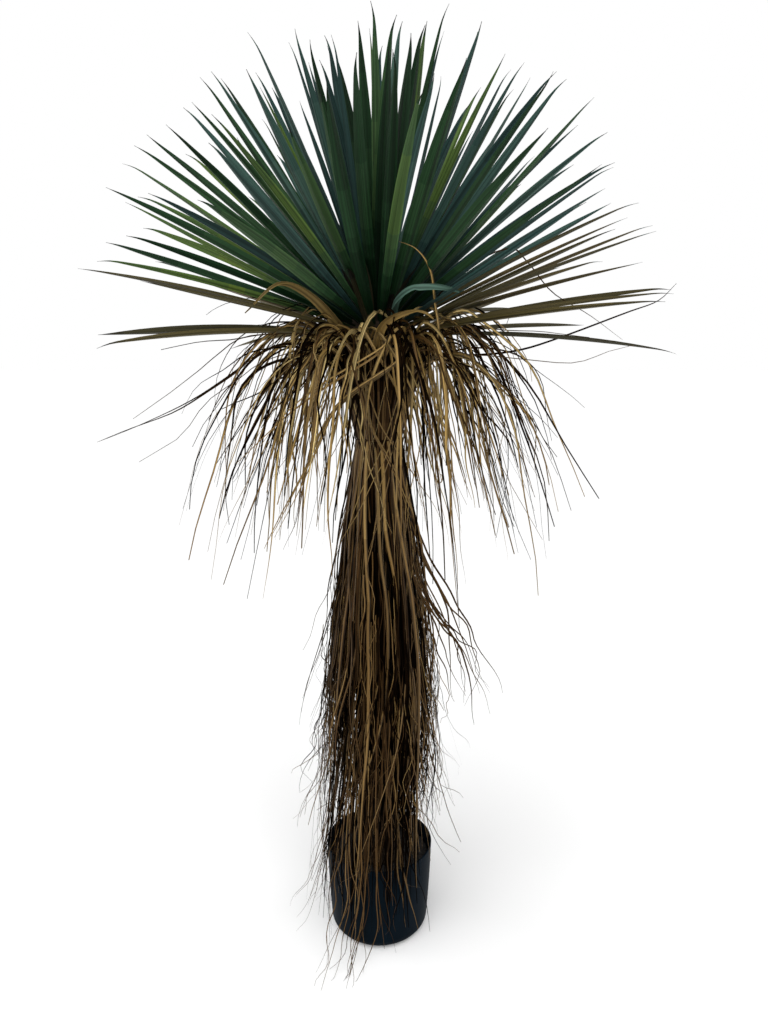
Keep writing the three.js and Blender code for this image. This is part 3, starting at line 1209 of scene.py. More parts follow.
@dataclass(frozen=True)
class Crown:
    """Half globe of sword leaves that stand on a dome round the trunk's tip."""

    dome_centre: float = 1.113
    first_turn: float = 24.0
    whorl_turn: float = 137.5
    jitter: float = 0.3
    side_bend: float = 0.022
    roll: float = 34.0
    lay: float = 42.0
    lay_by: float = 0.3
    stations: int = 15
    blade_end: float = 0.9
    tip_places: tuple[float, ...] = (0.93, 0.955, 0.975, 0.99, 1.0)
    widest_at: float = 0.42
    root_share: float = 0.4
    tip_power: float = 2.5
    spine: float = 0.0004
    hook: float = 0.005
    hook_from: float = 0.93
    hook_length: float = 0.07
    hook_aside: Span = (-1.0, 1.0)
    hook_down: Span = (-0.2, 1.0)
    infill_rows: int = 30
    infill_rise: float = 3.75
    infill_stray: Span = (-2.0, 2.0)
    infill_length: Span = (0.8, 0.99)
    look_rows: int = 41
    width_spread: Span = (0.82, 1.08)
    open_bearing: float = 180.0
    open_turn: float = 60.0
    open_elevation: float = 50.0
    low_elevation: float = 36.0
    blue_share: Profile = ((-0.3, 0.1), (-0.15, 0.2), (0.0, 0.02), (0.15, 0.3), (0.35, 0.8))
    high_blue: Profile = ((1.42, 0.0), (1.52, 0.4))
    withered_share: Profile = ((1.21, 0.9), (1.31, 0.0))
    withered_width: float = 0.8
    right_droop: float = 0.15
    # Leaves pointing towards the front are dealt darker shades, a painted shade, fading over this turn
    # and scaled by the next factor.
    front_turn: float = 70.0
    front_painted_shade: float = 3.0
    green_blade: Span = (0.5, 4.3)
    green_freshness: float = 0.3
    green_root: Span = (-1.0, 2.2)
    green_root_end: float = 0.6
    # Added to the shades: much darker at the root, partly the leaves' own colour and partly painted
    # shade where they crowd in the crown; darker again towards the tip.
    green_shading: Profile = ((0.0, 3.68), (0.46, 0.0), (0.6, 0.0), (1.0, 0.8))
    green_darkest: Span = (4.4, 5.0)
    green_darkest_end: float = 0.4
    green_tip: Span = (0.97, 6.0)
    brown_blade: Span = (1.0, 2.9)
    brown_shading: Profile = ((0.0, -0.8), (0.3, 0.0), (0.75, 0.0), (1.0, 0.75))
    brown_tip: Span = (0.94, 4.0)
    base_dark: float = 1.6
    core_from: float = -8.0
    core_rows: int = 22
    core_sides: int = 64
    brown: LeafKind = LeafKind(
        elevations=(4.0, 11.5), counts=(12, 12), first_row=0, dome_radius=0.056, stray=(-4.0, 8.0),
        length=(0.378, 0.448), bend=(-0.056, 0.010), half_width=0.0084, parting=34.0,
        front_lift=(46.0, 64.0), front_length=0.3,
    )
    green: LeafKind = LeafKind(
        elevations=(19.0, 26.5, 34.0, 41.5, 49.0, 56.5, 64.0), counts=(18, 17, 16, 15, 14, 12, 10),
        first_row=2, dome_radius=0.056, stray=(-2.6, 2.6), length=(0.384, 0.428),
        bend=(-0.028, 0.010), half_width=0.0099, infill=0.3, parting=24.0, front_lift=(16.0, 40.0),
    )
    heart: LeafKind = LeafKind(
        elevations=(71.5, 79.0, 86.5), counts=(9, 6, 3), first_row=9, dome_radius=0.061,
        stray=(-2.6, 2.6), length=(0.380, 0.420), bend=(-0.010, 0.010), half_width=0.0096,
    )

    def places(self) -> np.ndarray:
        """Returns the places along a leaf, closer together at its tip."""
        return np.concatenate((np.linspace(0, self.blade_end, self.stations), self.tip_places))

    def half_widths(self, widest: float) -> np.ndarray:
        """Shapes a leaf.

        Args:
            widest: Half its greatest width.

        Returns:
            Half its width at each place along it.
        """
        places = self.places()
        grown = np.sin(np.minimum(places / self.widest_at, 1) * math.pi / 2)
        beyond = np.maximum(places - self.widest_at, 0) / (1 - self.widest_at)
        share = self.root_share + (1 - self.root_share) * grown - beyond**self.tip_power
        return np.maximum(widest * share, self.spine)

    def leaf(
        self, kind: LeafKind, index: int, number: int, extra: bool
    ) -> tuple[np.ndarray, np.ndarray]:
        """Lays one leaf by the rule of the solids, apart from low ones at the front, which stand up.

        Args:
            kind: Its kind.
            index: Its whorl among those of its kind.
            number: Its number in the whorl.
            extra: Whether it stands between the leaves of the solids.

        Returns:
            Points of its midrib and unit vectors across it.
        """
        row = kind.first_row + index
        key = (number + 1, row + 1 + self.infill_rows * extra)
        bearing = self.first_turn + row * self.whorl_turn
        step = 360 / kind.count(index, extra)
        bearing += step * (number + pick((-self.jitter, self.jitter), *key, 1))
        elevation = kind.elevations[index]
        direction = elevation + pick(kind.stray, *key, 2)
        length = pick(kind.length, *key, 3)
        if extra:
            elevation += self.infill_rise
            length *= pick(self.infill_length, *key, 10)
            direction += self.infill_rise + pick(self.infill_stray, *key, 15)
        seat = math.radians(elevation)
        reach = kind.dome_radius - LEAF_SINK
        root = around(bearing, reach * math.cos(seat), self.dome_centre + reach * math.sin(seat))
        is_low = kind.elevations[index] < self.low_elevation
        if is_low and turn_between(bearing, FRONT) < kind.parting:
            direction += pick(kind.front_lift, *key, 14)
            length *= kind.front_length
        rise = math.radians(direction)
        along = around(bearing, math.cos(rise), math.sin(rise))
        across = around(bearing + 90, 1, 0)
        up = np.cross(along, across)
        tip = root + along * length + up * pick(kind.bend, *key, 4)
        tip = tip + across * pick((-self.side_bend, self.side_bend), *key, 5)
        places = self.places()
        line = bezier((root, root + along * length / 2, tip), places)
        curl = np.maximum(places - self.hook_from, 0) / self.hook_length
        hook = across * pick(self.hook_aside, *key, 7) - up * pick(self.hook_down, *key, 8)
        line = line + np.outer(curl**2 * self.hook, hook)
        lay = pick((-self.lay, self.lay), *key, 9) * np.minimum(places / self.lay_by, 1)
        return line, sides_of(line, across, lay + pick((-self.roll, self.roll), *key, 6) * places)

    def is_open(self, elevation: float, tip: np.ndarray) -> bool:
        """Tells whether the crown stays open here, low down and at the left, without extra leaves.

        Args:
            elevation: Elevation of the leaf's whorl.
            tip: The leaf's tip.

        Returns:
            Whether it stays open.
        """
        aside = turn_between(bearing_of(tip), self.open_bearing)
        left = aside < self.open_turn and elevation < self.open_elevation
        return elevation < self.low_elevation or left

    def tone(self, tip: np.ndarray, key: Key) -> Tone:
        """Deals out a tone: blue-green mostly at the right, withered low down and more at the right.

        Args:
            tip: The leaf's tip.
            key: The leaf's numbers.

        Returns:
            The tone.
        """
        if pick((0, 1), *key, 17) < follow(self.withered_share, tip[2] - self.right_droop * tip[0]):
            return Tone.WITHERED
        blue = follow(self.blue_share, tip[0]) + follow(self.high_blue, tip[2])
        return Tone.BLUE if pick((0, 1), *key, 16) < blue else Tone.GREEN

    # Leaves nearer the front are given a lower freshness, which paints shade on them.
    def green_shades(self, key: Key, freshness_and_front_shade: float, tone: Tone) -> np.ndarray:
        """Shades a green leaf: dark at its root, its own colour deepened by painted shade, then
        fresher, and darker again towards its tip.

        Args:
            key: The leaf's numbers.
            freshness_and_front_shade: From 0 on the lowest whorl to 1 in the heart, less at the front.
            tone: Its series of shades.

        Returns:
            A shade for each place along the leaf.
        """
        places = self.places()
        blade = pick(self.green_blade, *key, 11) - self.green_freshness * freshness_and_front_shade
        root = blade - pick(self.green_root, *key, 12)
        shades = root + (blade - root) * np.minimum(places / self.green_root_end, 1)
        shades = shades + follow(self.green_shading, places)
        darkest = np.where(places > self.green_darkest_end, *self.green_darkest)
        first, step = tone.value
        tip_from, tip_shade = self.green_tip
        return np.where(places > tip_from, tip_shade, first + step * np.clip(shades, 0, darkest))

    def brown_shades(self, key: Key) -> np.ndarray:
        """Shades a brown leaf: paler at its root, nearly black at its tip.

        Args:
            key: The leaf's numbers.

        Returns:
            A shade for each place along the leaf.
        """
        places = self.places()
        shades = pick(self.brown_blade, *key, 11) + follow(self.brown_shading, places)
        tip_from, tip_shade = self.brown_tip
        return np.where(places > tip_from, tip_shade, shades)

    def whorl(self, kind: LeafKind, index: int) -> list[Blade]:
        """Grows a whorl with its extra leaves.

        Args:
            kind: Kind of its leaves.
            index: Its place among the whorls of its kind.

        Returns:
            The leaves.
        """
        row = kind.first_row + index
        highest = self.heart.first_row + len(self.heart.counts)
        blades = []
        for extra in (False, True):
            for number in range(kind.count(index, extra)):
                line, sides = self.leaf(kind, index, number, extra)
                root, tip = line[0], line[-1]
                if extra and self.is_open(kind.elevations[index], tip):
                    continue
                key = (number + 1, row + self.look_rows + self.infill_rows * extra)
                width = kind.half_width * pick(self.width_spread, *key, 13)
                if kind is self.brown:
                    is_base = turn_between(bearing_of(root), FRONT) < kind.parting
                    shades = self.brown_shades(key) + self.base_dark * is_base
                else:
                    tone = self.tone(tip, key)
                    # Leaves pointing towards the front count as less fresh, so they get darker shades:
                    # painted shade.
                    facing = max(1 - turn_between(bearing_of(tip), FRONT) / self.front_turn, 0)
                    shades = self.green_shades(key, row / highest - self.front_painted_shade * facing, tone)
                    width *= self.withered_width if tone is Tone.WITHERED else 1
                blades.append(Blade(line, sides, self.half_widths(width), shades))
        return blades

    def build(self, greens: SweepTree, browns: SweepTree) -> None:
        """Builds and dresses the leaves, one piece for each solid, and their core.

        Args:
            greens: Tree that sweeps green leaves.
            browns: Tree that sweeps brown leaves.
        """
        slots = (Slot.DEEP_GREEN, Slot.BLUE_GREEN)
        for index in range(len(self.green.counts)):
            leaves = self.whorl(self.green, index)
            piece = greens.sweep(f"green_leaves_{index + 1}", leaves, LEAF_SECTION)
            keep(piece, slots[index % len(slots)], f"crown_whorl_{index + 1}")
        heart = []
        for index in range(len(self.heart.counts)):
            heart += self.whorl(self.heart, index)
        keep(greens.sweep("heart_leaves", heart, LEAF_SECTION), Slot.FRESH_GREEN, "crown_heart")
        for index in range(len(self.brown.counts)):
            leaves = self.whorl(self.brown, index)
            piece = browns.sweep(f"brown_leaves_{index + 1}", leaves, LEAF_SECTION)
            keep(piece, Slot.BROWN_LEAF, f"brown_whorl_{index + 1}")
        self.build_core()

    def build_core(self) -> None:
        """Builds the dark dome of packed leaf bases that the leaves stand out of."""
        radius = self.green.dome_radius - LEAF_SINK / 2
        angles = np.radians(np.linspace(self.core_from, 90, self.core_rows))
        dome = [(radius * math.cos(a), self.dome_centre + radius * math.sin(a)) for a in angles]
        outline = [(0.0, dome[0][1]), *dome[:-1], (0.0, dome[-1][1])]
        keep_solid(turned("crown_core", outline, self.core_sides), BARK, Slot.BARK)


# The dry strips

STRIP_WIDEST = (0.25, 1.0)
STRIP_WAIST = (0.6, 0.78)


def strip_widths(places: np.ndarray, half_width: float, root: float, tip: float) -> np.ndarray:
    """Returns half a strip's width along it, by its greatest half and its shares at root and tip."""
    return half_width * follow(((0, root), STRIP_WIDEST, STRIP_WAIST, (1, tip)), places)


LOCK_JITTER = (-0.4, 0.4)


def sector_bearings(sector: int, place: Key, margin: float, gather: float, key: Key) -> Span:
    """Finds the bearings of a lock's root and tip by the rule of the solids.

    Args:
        sector: The sector round the trunk.
        place: The lock's number in it, and how many locks it has.
        margin: Angle that is kept clear at the sector's edges.
        gather: Largest lean of the tip towards the middle of the sector.
        key: The lock's numbers.

    Returns:
        Bearing of the root and of the tip.
    """
    number, locks = place
    share = (number + 0.5 + pick(LOCK_JITTER, *key, 1)) / locks
    start = SECTOR_TURN * sector + lerp(margin, SECTOR_TURN - margin, share)
    return start, lerp(start, SECTOR_TURN * (sector + 0.5), pick((0, gather), *key, 2))


@dataclass(frozen=True)
class Collar:
    """Flaring collar of pleated leaf bases under the crown, tied at the neck."""

    profile: Profile = ((0.945, 0.040), (0.995, 0.051), (1.045, 0.070), (1.079, 0.078), (1.106, 0.066))
    seed: int = 31
    ribs: int = 104
    stations: int = 10
    jitter: Span = (-0.4, 0.4)
    rib_foot: Span = (0.941, 0.949)
    rib_top: Span = (1.065, 1.103)
    proud: Span = (-0.004, 0.003)
    roll: Span = (180.0, 14.0)
    half_width: Span = (0.0017, 0.0036)
    width_spread: Span = (0.8, 1.2)
    shade: Span = (1.9, 0.9)
    # Ribs darker towards the top, painted shade under the crown, and slightly darker at the foot.
    shading: Profile = ((0.0, -0.5), (0.05, 0.4), (0.4, 0.0), (0.8, -1.2), (1.0, -2.0))
    tie_half_width: float = 0.0009
    tie_proud: float = 0.001
    tie_shade: float = 1.0
    tie_stations: int = 49
    core_inset: float = 0.007
    core_rows: int = 24
    core_sides: int = 64

    def radius(self, height: float) -> float:
        """Returns the collar's radius at a height."""
        return float(follow(self.profile, height))

    def rib(self, number: int, chance: Chance) -> Blade:
        """Lays one rib.

        Args:
            number: Its number round the collar.
            chance: Source of random numbers.

        Returns:
            The rib.
        """
        places = np.linspace(0, 1, self.stations)
        bearing = 360 / self.ribs * (number + chance.uniform(*self.jitter))
        foot, top = chance.uniform(*self.rib_foot), chance.uniform(*self.rib_top)
        proud = chance.uniform(*self.proud)
        heights = lerp(foot, top, places)
        line = [around(bearing, self.radius(z) + proud * p, z) for z, p in zip(heights, places)]
        line = np.array(line)
        roll = np.full(len(line), chance.normal(*self.roll))
        widths = follow(((0, self.half_width[0]), (1, self.half_width[1])), places)
        widths = widths * chance.uniform(*self.width_spread)
        shades = chance.normal(*self.shade) + follow(self.shading, places)
        return Blade(line, sides_of(line, around(bearing - 90, 1, 0), roll), widths, shades)

    def tie(self) -> Blade:
        """Lays the dark tie round the neck.

        Returns:
            The tie.
        """
        neck = self.profile[0][0]
        radius = self.radius(neck) + self.tie_proud
        loop = np.array([around(a, radius, neck) for a in np.linspace(0, 360, self.tie_stations)])
        upright = np.tile((0.0, 0.0, 1.0), (len(loop), 1))
        widths = np.full(len(loop), self.tie_half_width)
        return Blade(loop, upright, widths, np.full(len(loop), self.tie_shade))

    def build(self, straws: SweepTree) -> None:
        """Builds and dresses the ribs, the tie and the dark core behind them.

        Args:
            straws: Tree that sweeps dry strips.
        """
        chance = np.random.default_rng(self.seed)
        ribs = [self.rib(number, chance) for number in range(self.ribs)]
        keep(straws.sweep("collar_ribs", [*ribs, self.tie()], STRIP_SECTION), Slot.DEAD_LEAF)
        heights = np.linspace(self.profile[0][0], self.profile[-1][0], self.core_rows)
        wall = [(self.radius(z) - self.core_inset, float(z)) for z in heights]
        outline = [(0.0, wall[0][1]), *wall, (0.0, wall[-1][1])]
        keep_solid(turned("collar_core", outline, self.core_sides), BARK, Slot.BARK)


@dataclass(frozen=True)
class Skirt:
    """Skirt of dead leaves that rise from the collar, arch over and droop."""

    collar: Collar
    seed: int = 12
    first_strip_seed: int = 100
    locks: int = 11
    roots: Span = (1.029, 1.075)
    arch_height: Span = (1.109, 1.196)
    rise: Span = (0.030, 0.060)
    nearest: float = 0.118
    furthest: float = 0.345
    shoulder: Span = (0.40, 0.80)
    sway: Span = (-0.010, 0.020)
    tips: Span = (0.715, 0.905)
    margin: float = 4.5
    gather: float = 0.25
    half_widths: tuple[Span, ...] = ((0.0026, 0.0042), (0.0018, 0.0034), (0.0012, 0.0026))
    open_turn: float = 40.0
    open_strips: int = 2
    stations: int = 22
    finer_reach: Span = (0.84, 1.03)
    finer_inward: Span = (0.9, 1.4)
    finer_turn: float = 13.0
    finer_turn_shares: tuple[float, ...] = (0.0, 0.15, 0.7, 1.0)
    finer_lifts: tuple[Span, ...] = ((-0.02, 0.04), (-0.05, 0.035), (-0.015, 0.17))
    stray: float = 0.009
    roll: Span = (-90.0, 90.0)
    twist: float = 45.0
    ends: Span = (0.7, 0.24)
    lights: Triple = (0.3, 2.2, 5.0)
    light_shares: Triple = (0.46, 0.22, 0.32)
    light_spread: float = 0.4
    # Dark at the root, painted shade inside the collar, lighter over the arch and darker again at the
    # tip.
    shading: Profile = ((0.0, -2.4), (0.2, 0.1), (0.45, 0.4), (0.75, 0.0), (1.0, -1.2))

    def line(self, sector: int, number: int) -> list[np.ndarray]:
        """Lays a lock's line by the rule of the solids.

        Args:
            sector: The sector round the trunk.
            number: The lock's number in it.

        Returns:
            Control points of the line.
        """
        key = (sector * self.locks + number + 1, self.seed)
        start, end = sector_bearings(sector, (number, self.locks), self.margin, self.gather, key)
        root_height = pick(self.roots, *key, 3)
        root = self.collar.radius(root_height) - LEAF_SINK
        reach = lerp(self.nearest, self.furthest, math.sqrt(pick((0, 1), *key, 4)))
        shoulder = max(reach * pick(self.shoulder, *key, 9), self.nearest)
        arch = pick(self.arch_height, *key, 5)
        return [
            around(start, root, root_height),
            around(start, root + pick(self.rise, *key, 7), arch),
            around((start + end) / 2, shoulder, arch),
            around(end, reach + pick(self.sway, *key, 8), pick(self.tips, *key, 6)),
        ]

    def finer(self, control: list[np.ndarray], chance: Chance) -> list[np.ndarray]:
        """Lays the line of a finer strip near a lock's line and inside its reach.

        Args:
            control: Control points of the lock's line.
            chance: Source of random numbers.

        Returns:
            Control points of the strip's line.
        """
        reach, inward = chance.uniform(*self.finer_reach), chance.uniform(*self.finer_inward)
        turn = chance.normal(0, self.finer_turn)
        lifts = (0, *(chance.uniform(*span) for span in self.finer_lifts))
        turns = [turn * share for share in self.finer_turn_shares]
        changes = zip(control, turns, (1, 1, inward, reach), lifts)
        return [moved(point, turn, factor, lift=lift) for point, turn, factor, lift in changes]

    def strip(self, control: list[np.ndarray], half_width: float, chance: Chance) -> Blade:
        """Lays one strip.

        Args:
            control: Control points of its line.
            half_width: Half its greatest width.
            chance: Source of random numbers.

        Returns:
            The strip.
        """
        places = np.linspace(0, 1, self.stations)
        line = wander(bezier(control, places), self.stray, chance, kinks=1)
        across = around(bearing_of(control[0]) + 90, 1, 0)
        roll = chance.uniform(*self.roll) + chance.normal(0, self.twist) * places
        light = chance.choice(self.lights, p=self.light_shares) + chance.normal(0, self.light_spread)
        shades = light + follow(self.shading, places)
        widths = strip_widths(places, half_width, *self.ends)
        return Blade(line, sides_of(line, across, roll), widths, shades)

    def build(self, straws: SweepTree) -> None:
        """Builds and dresses the skirt, one piece for each solid, thinner at the front and back.

        Args:
            straws: Tree that sweeps dry strips.
        """
        for sector in range(SECTORS):
            chance = np.random.default_rng(self.first_strip_seed + sector)
            strips = []
            for number in range(self.locks):
                control = self.line(sector, number)
                bearing = bearing_of(control[0])
                aside = min(turn_between(bearing, FRONT), turn_between(bearing, FRONT + 180))
                kept = self.open_strips if aside < self.open_turn else len(self.half_widths)
                for strip, half_width in enumerate(self.half_widths[:kept]):
                    near = self.finer(control, chance) if strip else control
                    strips.append(self.strip(near, chance.uniform(*half_width), chance))
            piece = straws.sweep(f"skirt_strips_{sector + 1}", strips, STRIP_SECTION)
            keep(piece, Slot.DEAD_LEAF, f"dead_skirt_{sector + 1}")


@dataclass(frozen=True)
class Fringe:
    """Pale strips that come out between the leaf bases, bend over and hang before the collar."""

    collar: Collar
    name: str = "fringe_strips"
    seed: int = 53
    strips: int = 72
    jitter: Span = (-0.5, 0.5)
    free: float = 0.2
    root_radius: Span = (0.050, 0.064)
    root_height: Span = (1.070, 1.106)
    root_slope: Span = (40, 74)
    tip_slope: Span = (-94, -68)
    bend: Span = (0.10, 0.24)
    softness: Span = (0.045, 0.075)
    length: Span = (0.26, 0.50)
    lean: float = 0.0
    veer: float = 54.0
    clearance: float = 0.006
    half_width: Span = (0.0022, 0.0039)
    stations: int = 26
    stray: float = 0.004
    roll: float = 20.0
    twist: float = 45.0
    ends: Span = (0.8, 0.12)
    shade: Span = (4.8, 0.8)
    # Dark at the root, painted shade between the leaf bases, and darker again at the tip.
    shading: Profile = ((0.0, -2.4), (0.12, 0.2), (0.5, 0.4), (1.0, -1.0))

    def line(self, bearing: float, lean: float, chance: Chance) -> np.ndarray:
        """Lays a strip that rises, bends over and hangs.

        Args:
            bearing: Bearing of its root.
            lean: Angle from its bearing to where it heads.
            chance: Source of random numbers.

        Returns:
            Points along it.
        """
        places = np.linspace(0, 1, self.stations)
        late = places - chance.uniform(*self.bend)
        bent = 1 / (1 + np.exp(late / chance.uniform(*self.softness)))
        start, end = chance.uniform(*self.root_slope), chance.uniform(*self.tip_slope)
        slopes = np.radians(lerp(end, start, bent))
        step = chance.uniform(*self.length) / self.stations
        root = around(bearing, chance.uniform(*self.root_radius), chance.uniform(*self.root_height))
        heading = around(bearing + chance.normal(lean, self.veer), 1, 0)
        line = root + np.outer(np.cumsum(np.cos(slopes)) * step, heading)
        line[:, 2] += np.cumsum(np.sin(slopes)) * step
        radii = np.hypot(line[:, 0], line[:, 1])
        nearest = np.array([self.collar.radius(z) + self.clearance for z in line[:, 2]])
        pushed = np.maximum(radii, nearest * np.minimum(places / self.free, 1))
        line[:, :2] *= (pushed / radii)[:, None]
        return line

    def build(self, straws: SweepTree) -> None:
        """Builds and dresses the fringe, leaning to either side in turn.

        Args:
            straws: Tree that sweeps dry strips.
        """
        chance = np.random.default_rng(self.seed)
        places = np.linspace(0, 1, self.stations)
        strips = []
        for number in range(self.strips):
            bearing = 360 / self.strips * (number + chance.uniform(*self.jitter))
            lean = self.lean if number % 2 else -self.lean
            line = wander(self.line(bearing, lean, chance), self.stray, chance)
            roll = chance.normal(0, self.roll) + chance.normal(0, self.twist) * places
            widths = strip_widths(places, chance.uniform(*self.half_width), *self.ends)
            shades = chance.normal(*self.shade) + follow(self.shading, places)
            sides = sides_of(line, around(bearing + 90, 1, 0), roll)
            strips.append(Blade(line, sides, widths, shades))
        keep(straws.sweep(self.name, strips, STRIP_SECTION), Slot.DEAD_LEAF)


class Ending(Enum):
    """Where a lock of the thatch ends."""

    OVER_RIM = "over the pot's rim"
    IN_POT = "in the pot"
    SHORT = "short of the pot"


@dataclass(frozen=True)
class TipRange:
    """Ranges of a lock's elbow radius, of its tip's radius and height, and of its strips' lift."""

    elbow: Span
    radius: Span
    height: Span
    lift: Span


TIP_RANGES = {
    Ending.OVER_RIM: TipRange(
        elbow=(0.112, 0.124), radius=(0.113, 0.150), height=(0.008, 0.128), lift=(-0.02, 0.10)
    ),
    Ending.IN_POT: TipRange(
        elbow=(0.104, 0.118), radius=(0.062, 0.084), height=(0.153, 0.205), lift=(-0.01, 0.08)
    ),
    Ending.SHORT: TipRange(
        elbow=(0.104, 0.120), radius=(0.096, 0.120), height=(0.205, 0.415), lift=(-0.06, 0.12)
    ),
}


@dataclass(frozen=True)
class Layer:
    """A layer of strips in each lock of the thatch."""

    strips: int
    depth: Span
    turn: float
    half_width: Span
    shade: Span
    stray: float
    start: Span = (0.0, 0.0)
    # How much lighter the layer's strips are near the neck, where their painted shade fades.
    top_light: float = 0.0


@dataclass(frozen=True)
class Thatch:
    """Dry strips that hang down the trunk in locks: broad ones over darker ones, whose darkness is
    painted shade in the gaps, and fine ones.
    """

    seed: int = 17
    first_strip_seed: int = 200
    locks: int = 6
    roots: Span = (0.927, 0.941)
    neck: float = 0.946
    neck_jitter: Span = (-0.003, 0.002)
    core: Profile = (
        (0.211, 0.058), (0.265, 0.077), (0.445, 0.084),
        (0.615, 0.071), (0.835, 0.048), (0.953, 0.039),
    )
    shoulder_height: float = 0.785
    shoulder_radius: Span = (0.063, 0.070)
    elbow_share: float = 0.62
    margin: float = 5.5
    gather: float = 0.16
    overhang_bearing: float = 228.0
    overhang_spread: float = 68.0
    overhang_share: float = 0.5
    in_pot_share: float = 0.62
    rim_above: float = 0.012
    rim_outside: float = 0.004
    rim_inside: float = 0.010
    fill_above: float = 0.001
    least_radius: float = 1e-6
    swirl: Profile = (
        (0.2, 0.0), (0.36, 5.0), (0.56, 17.0), (0.68, 17.0), (0.84, 4.0), (0.93, 0.0),
    )
    depth_shares: tuple[float, ...] = (0.0, 0.45, 1.0, 1.0)
    turn_shares: tuple[float, ...] = (0.4, 0.5, 1.2, 2.0)
    lift_shares: tuple[float, ...] = (0.0, 0.0, 0.4, 1.0)
    stations: int = 24
    roll: float = 8.0
    twist: float = 45.0
    ends: Span = (1.1, 0.14)
    palest: float = 4.5
    shading: Profile = ((0.0, -0.2), (0.02, 0.2), (0.2, 0.0), (0.45, -1.0), (1.0, -0.2))
    top_share: float = 0.3
    broad: Layer = Layer(
        strips=4, depth=(-0.002, 0.003), turn=11.0, half_width=(0.0028, 0.0038),
        shade=(3.2, 0.9), stray=0.0130,
    )
    # The between strips are darker and the strips deep behind them nearly black: painted shade in the
    # gaps of the thatch.
    between: Layer = Layer(
        strips=1, depth=(-0.014, -0.004), turn=11.0, half_width=(0.0016, 0.0026),
        shade=(1.3, 0.9), stray=0.0110, top_light=0.6,
    )
    painted_shade_backing: Layer = Layer(
        strips=5, depth=(-0.036, -0.020), turn=5.0, half_width=(0.0028, 0.0046),
        shade=(-0.4, 0.2), stray=0.0040, top_light=1.2,
    )
    fine: Layer = Layer(
        strips=5, depth=(-0.014, 0.004), turn=10.0, half_width=(0.0006, 0.0019),
        shade=(1.3, 1.6), stray=0.0120, start=(0.4, 0.75),
    )

    def ending(self, bearing: float, key: Key) -> Ending:
        """Finds where a lock ends by the rule of the solids.

        Args:
            bearing: Bearing of its root.
            key: The lock's numbers.

        Returns:
            Where it ends.
        """
        away = turn_between(bearing, self.overhang_bearing)
        fate = pick((0, 1), *key, 5)
        if away < self.overhang_spread and fate < self.overhang_share:
            return Ending.OVER_RIM
        return Ending.IN_POT if fate < self.in_pot_share else Ending.SHORT

    def line(self, sector: int, number: int) -> tuple[list[np.ndarray], Ending]:
        """Lays a lock's line by the rule of the solids.

        Args:
            sector: The sector round the trunk.
            number: The lock's number in it.

        Returns:
            Control points of the line, and where it ends.
        """
        key = (sector * self.locks + number + 1, self.seed)
        start, end = sector_bearings(sector, (number, self.locks), self.margin, self.gather, key)
        ending = self.ending(start, key)
        tip = TIP_RANGES[ending]
        root_height = pick(self.roots, *key, 3)
        tip_height = pick(tip.height, *key, 8)
        elbow_height = lerp(root_height, tip_height, self.elbow_share)
        control = [
            around(start, follow(self.core, root_height) - LEAF_SINK / 2, root_height),
            around(start, pick(self.shoulder_radius, *key, 4), self.shoulder_height),
            around((start + end) / 2, pick(tip.elbow, *key, 6), elbow_height),
            around(end, pick(tip.radius, *key, 7), tip_height),
        ]
        return control, ending

    def clear_of_pot(self, line: np.ndarray, ending: Ending) -> np.ndarray:
        """Keeps a line on its side of the pot's wall.

        Args:
            line: Points of the line.
            ending: Where it ends.

        Returns:
            The line, outside the pot or inside it.
        """
        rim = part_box("pot")[1]
        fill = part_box("pot_fill")[1].z
        radii = np.hypot(line[:, 0], line[:, 1])
        low = line[:, 2] < rim.z + self.rim_above
        wanted = radii.copy()
        if ending is Ending.OVER_RIM:
            wanted[low] = np.maximum(radii[low], rim.x + self.rim_outside)
        elif ending is Ending.IN_POT:
            wanted[low] = np.minimum(radii[low], rim.x - self.rim_inside)
            line[:, 2] = np.maximum(line[:, 2], fill + self.fill_above)
        line[:, :2] *= (wanted / np.maximum(radii, self.least_radius))[:, None]
        return line

    def course(
        self, control: list[np.ndarray], ending: Ending, layer: Layer, chance: Chance
    ) -> np.ndarray:
        """Lays a strip's course near a lock's line, swirled round the trunk.

        Args:
            control: Control points of the lock's line.
            ending: Where the lock ends.
            layer: The strip's layer.
            chance: Source of random numbers.

        Returns:
            Points of the course.
        """
        depth = chance.uniform(*layer.depth)
        turn = chance.normal(0, layer.turn)
        lifts = {end: chance.uniform(*tip.lift) for end, tip in TIP_RANGES.items()}
        shares = zip(control, self.turn_shares, self.depth_shares, self.lift_shares)
        shifted = [
            moved(point, turn * a, outward=depth * b, lift=lifts[ending] * c)
            for point, a, b, c in shares
        ]
        shifted[0][2] = self.neck + chance.uniform(*self.neck_jitter)
        places = np.linspace(0, 1, self.stations)
        course = bezier(shifted, lerp(chance.uniform(*layer.start), 1, places))
        return np.array([moved(point, follow(self.swirl, point[2])) for point in course])

    def strip(
        self, control: list[np.ndarray], ending: Ending, layer: Layer, chance: Chance
    ) -> Blade:
        """Lays one strip near a lock's line.

        Args:
            control: Control points of the lock's line.
            ending: Where the lock ends.
            layer: The strip's layer.
            chance: Source of random numbers.

        Returns:
            The strip.
        """
        course = self.course(control, ending, layer, chance)
        line = self.clear_of_pot(wander(course, layer.stray, chance, kinks=1), ending)
        places = np.linspace(0, 1, self.stations)
        across = around(bearing_of(control[0]) - 90, 1, 0)
        roll = chance.normal(0, self.roll) + chance.normal(0, self.twist) * places**2
        widths = strip_widths(places, chance.uniform(*layer.half_width), *self.ends)
        shades = min(chance.normal(*layer.shade), self.palest) + follow(self.shading, places)
        shades = shades + layer.top_light * np.maximum(1 - places / self.top_share, 0)
        return Blade(line, sides_of(line, across, roll), widths, shades)

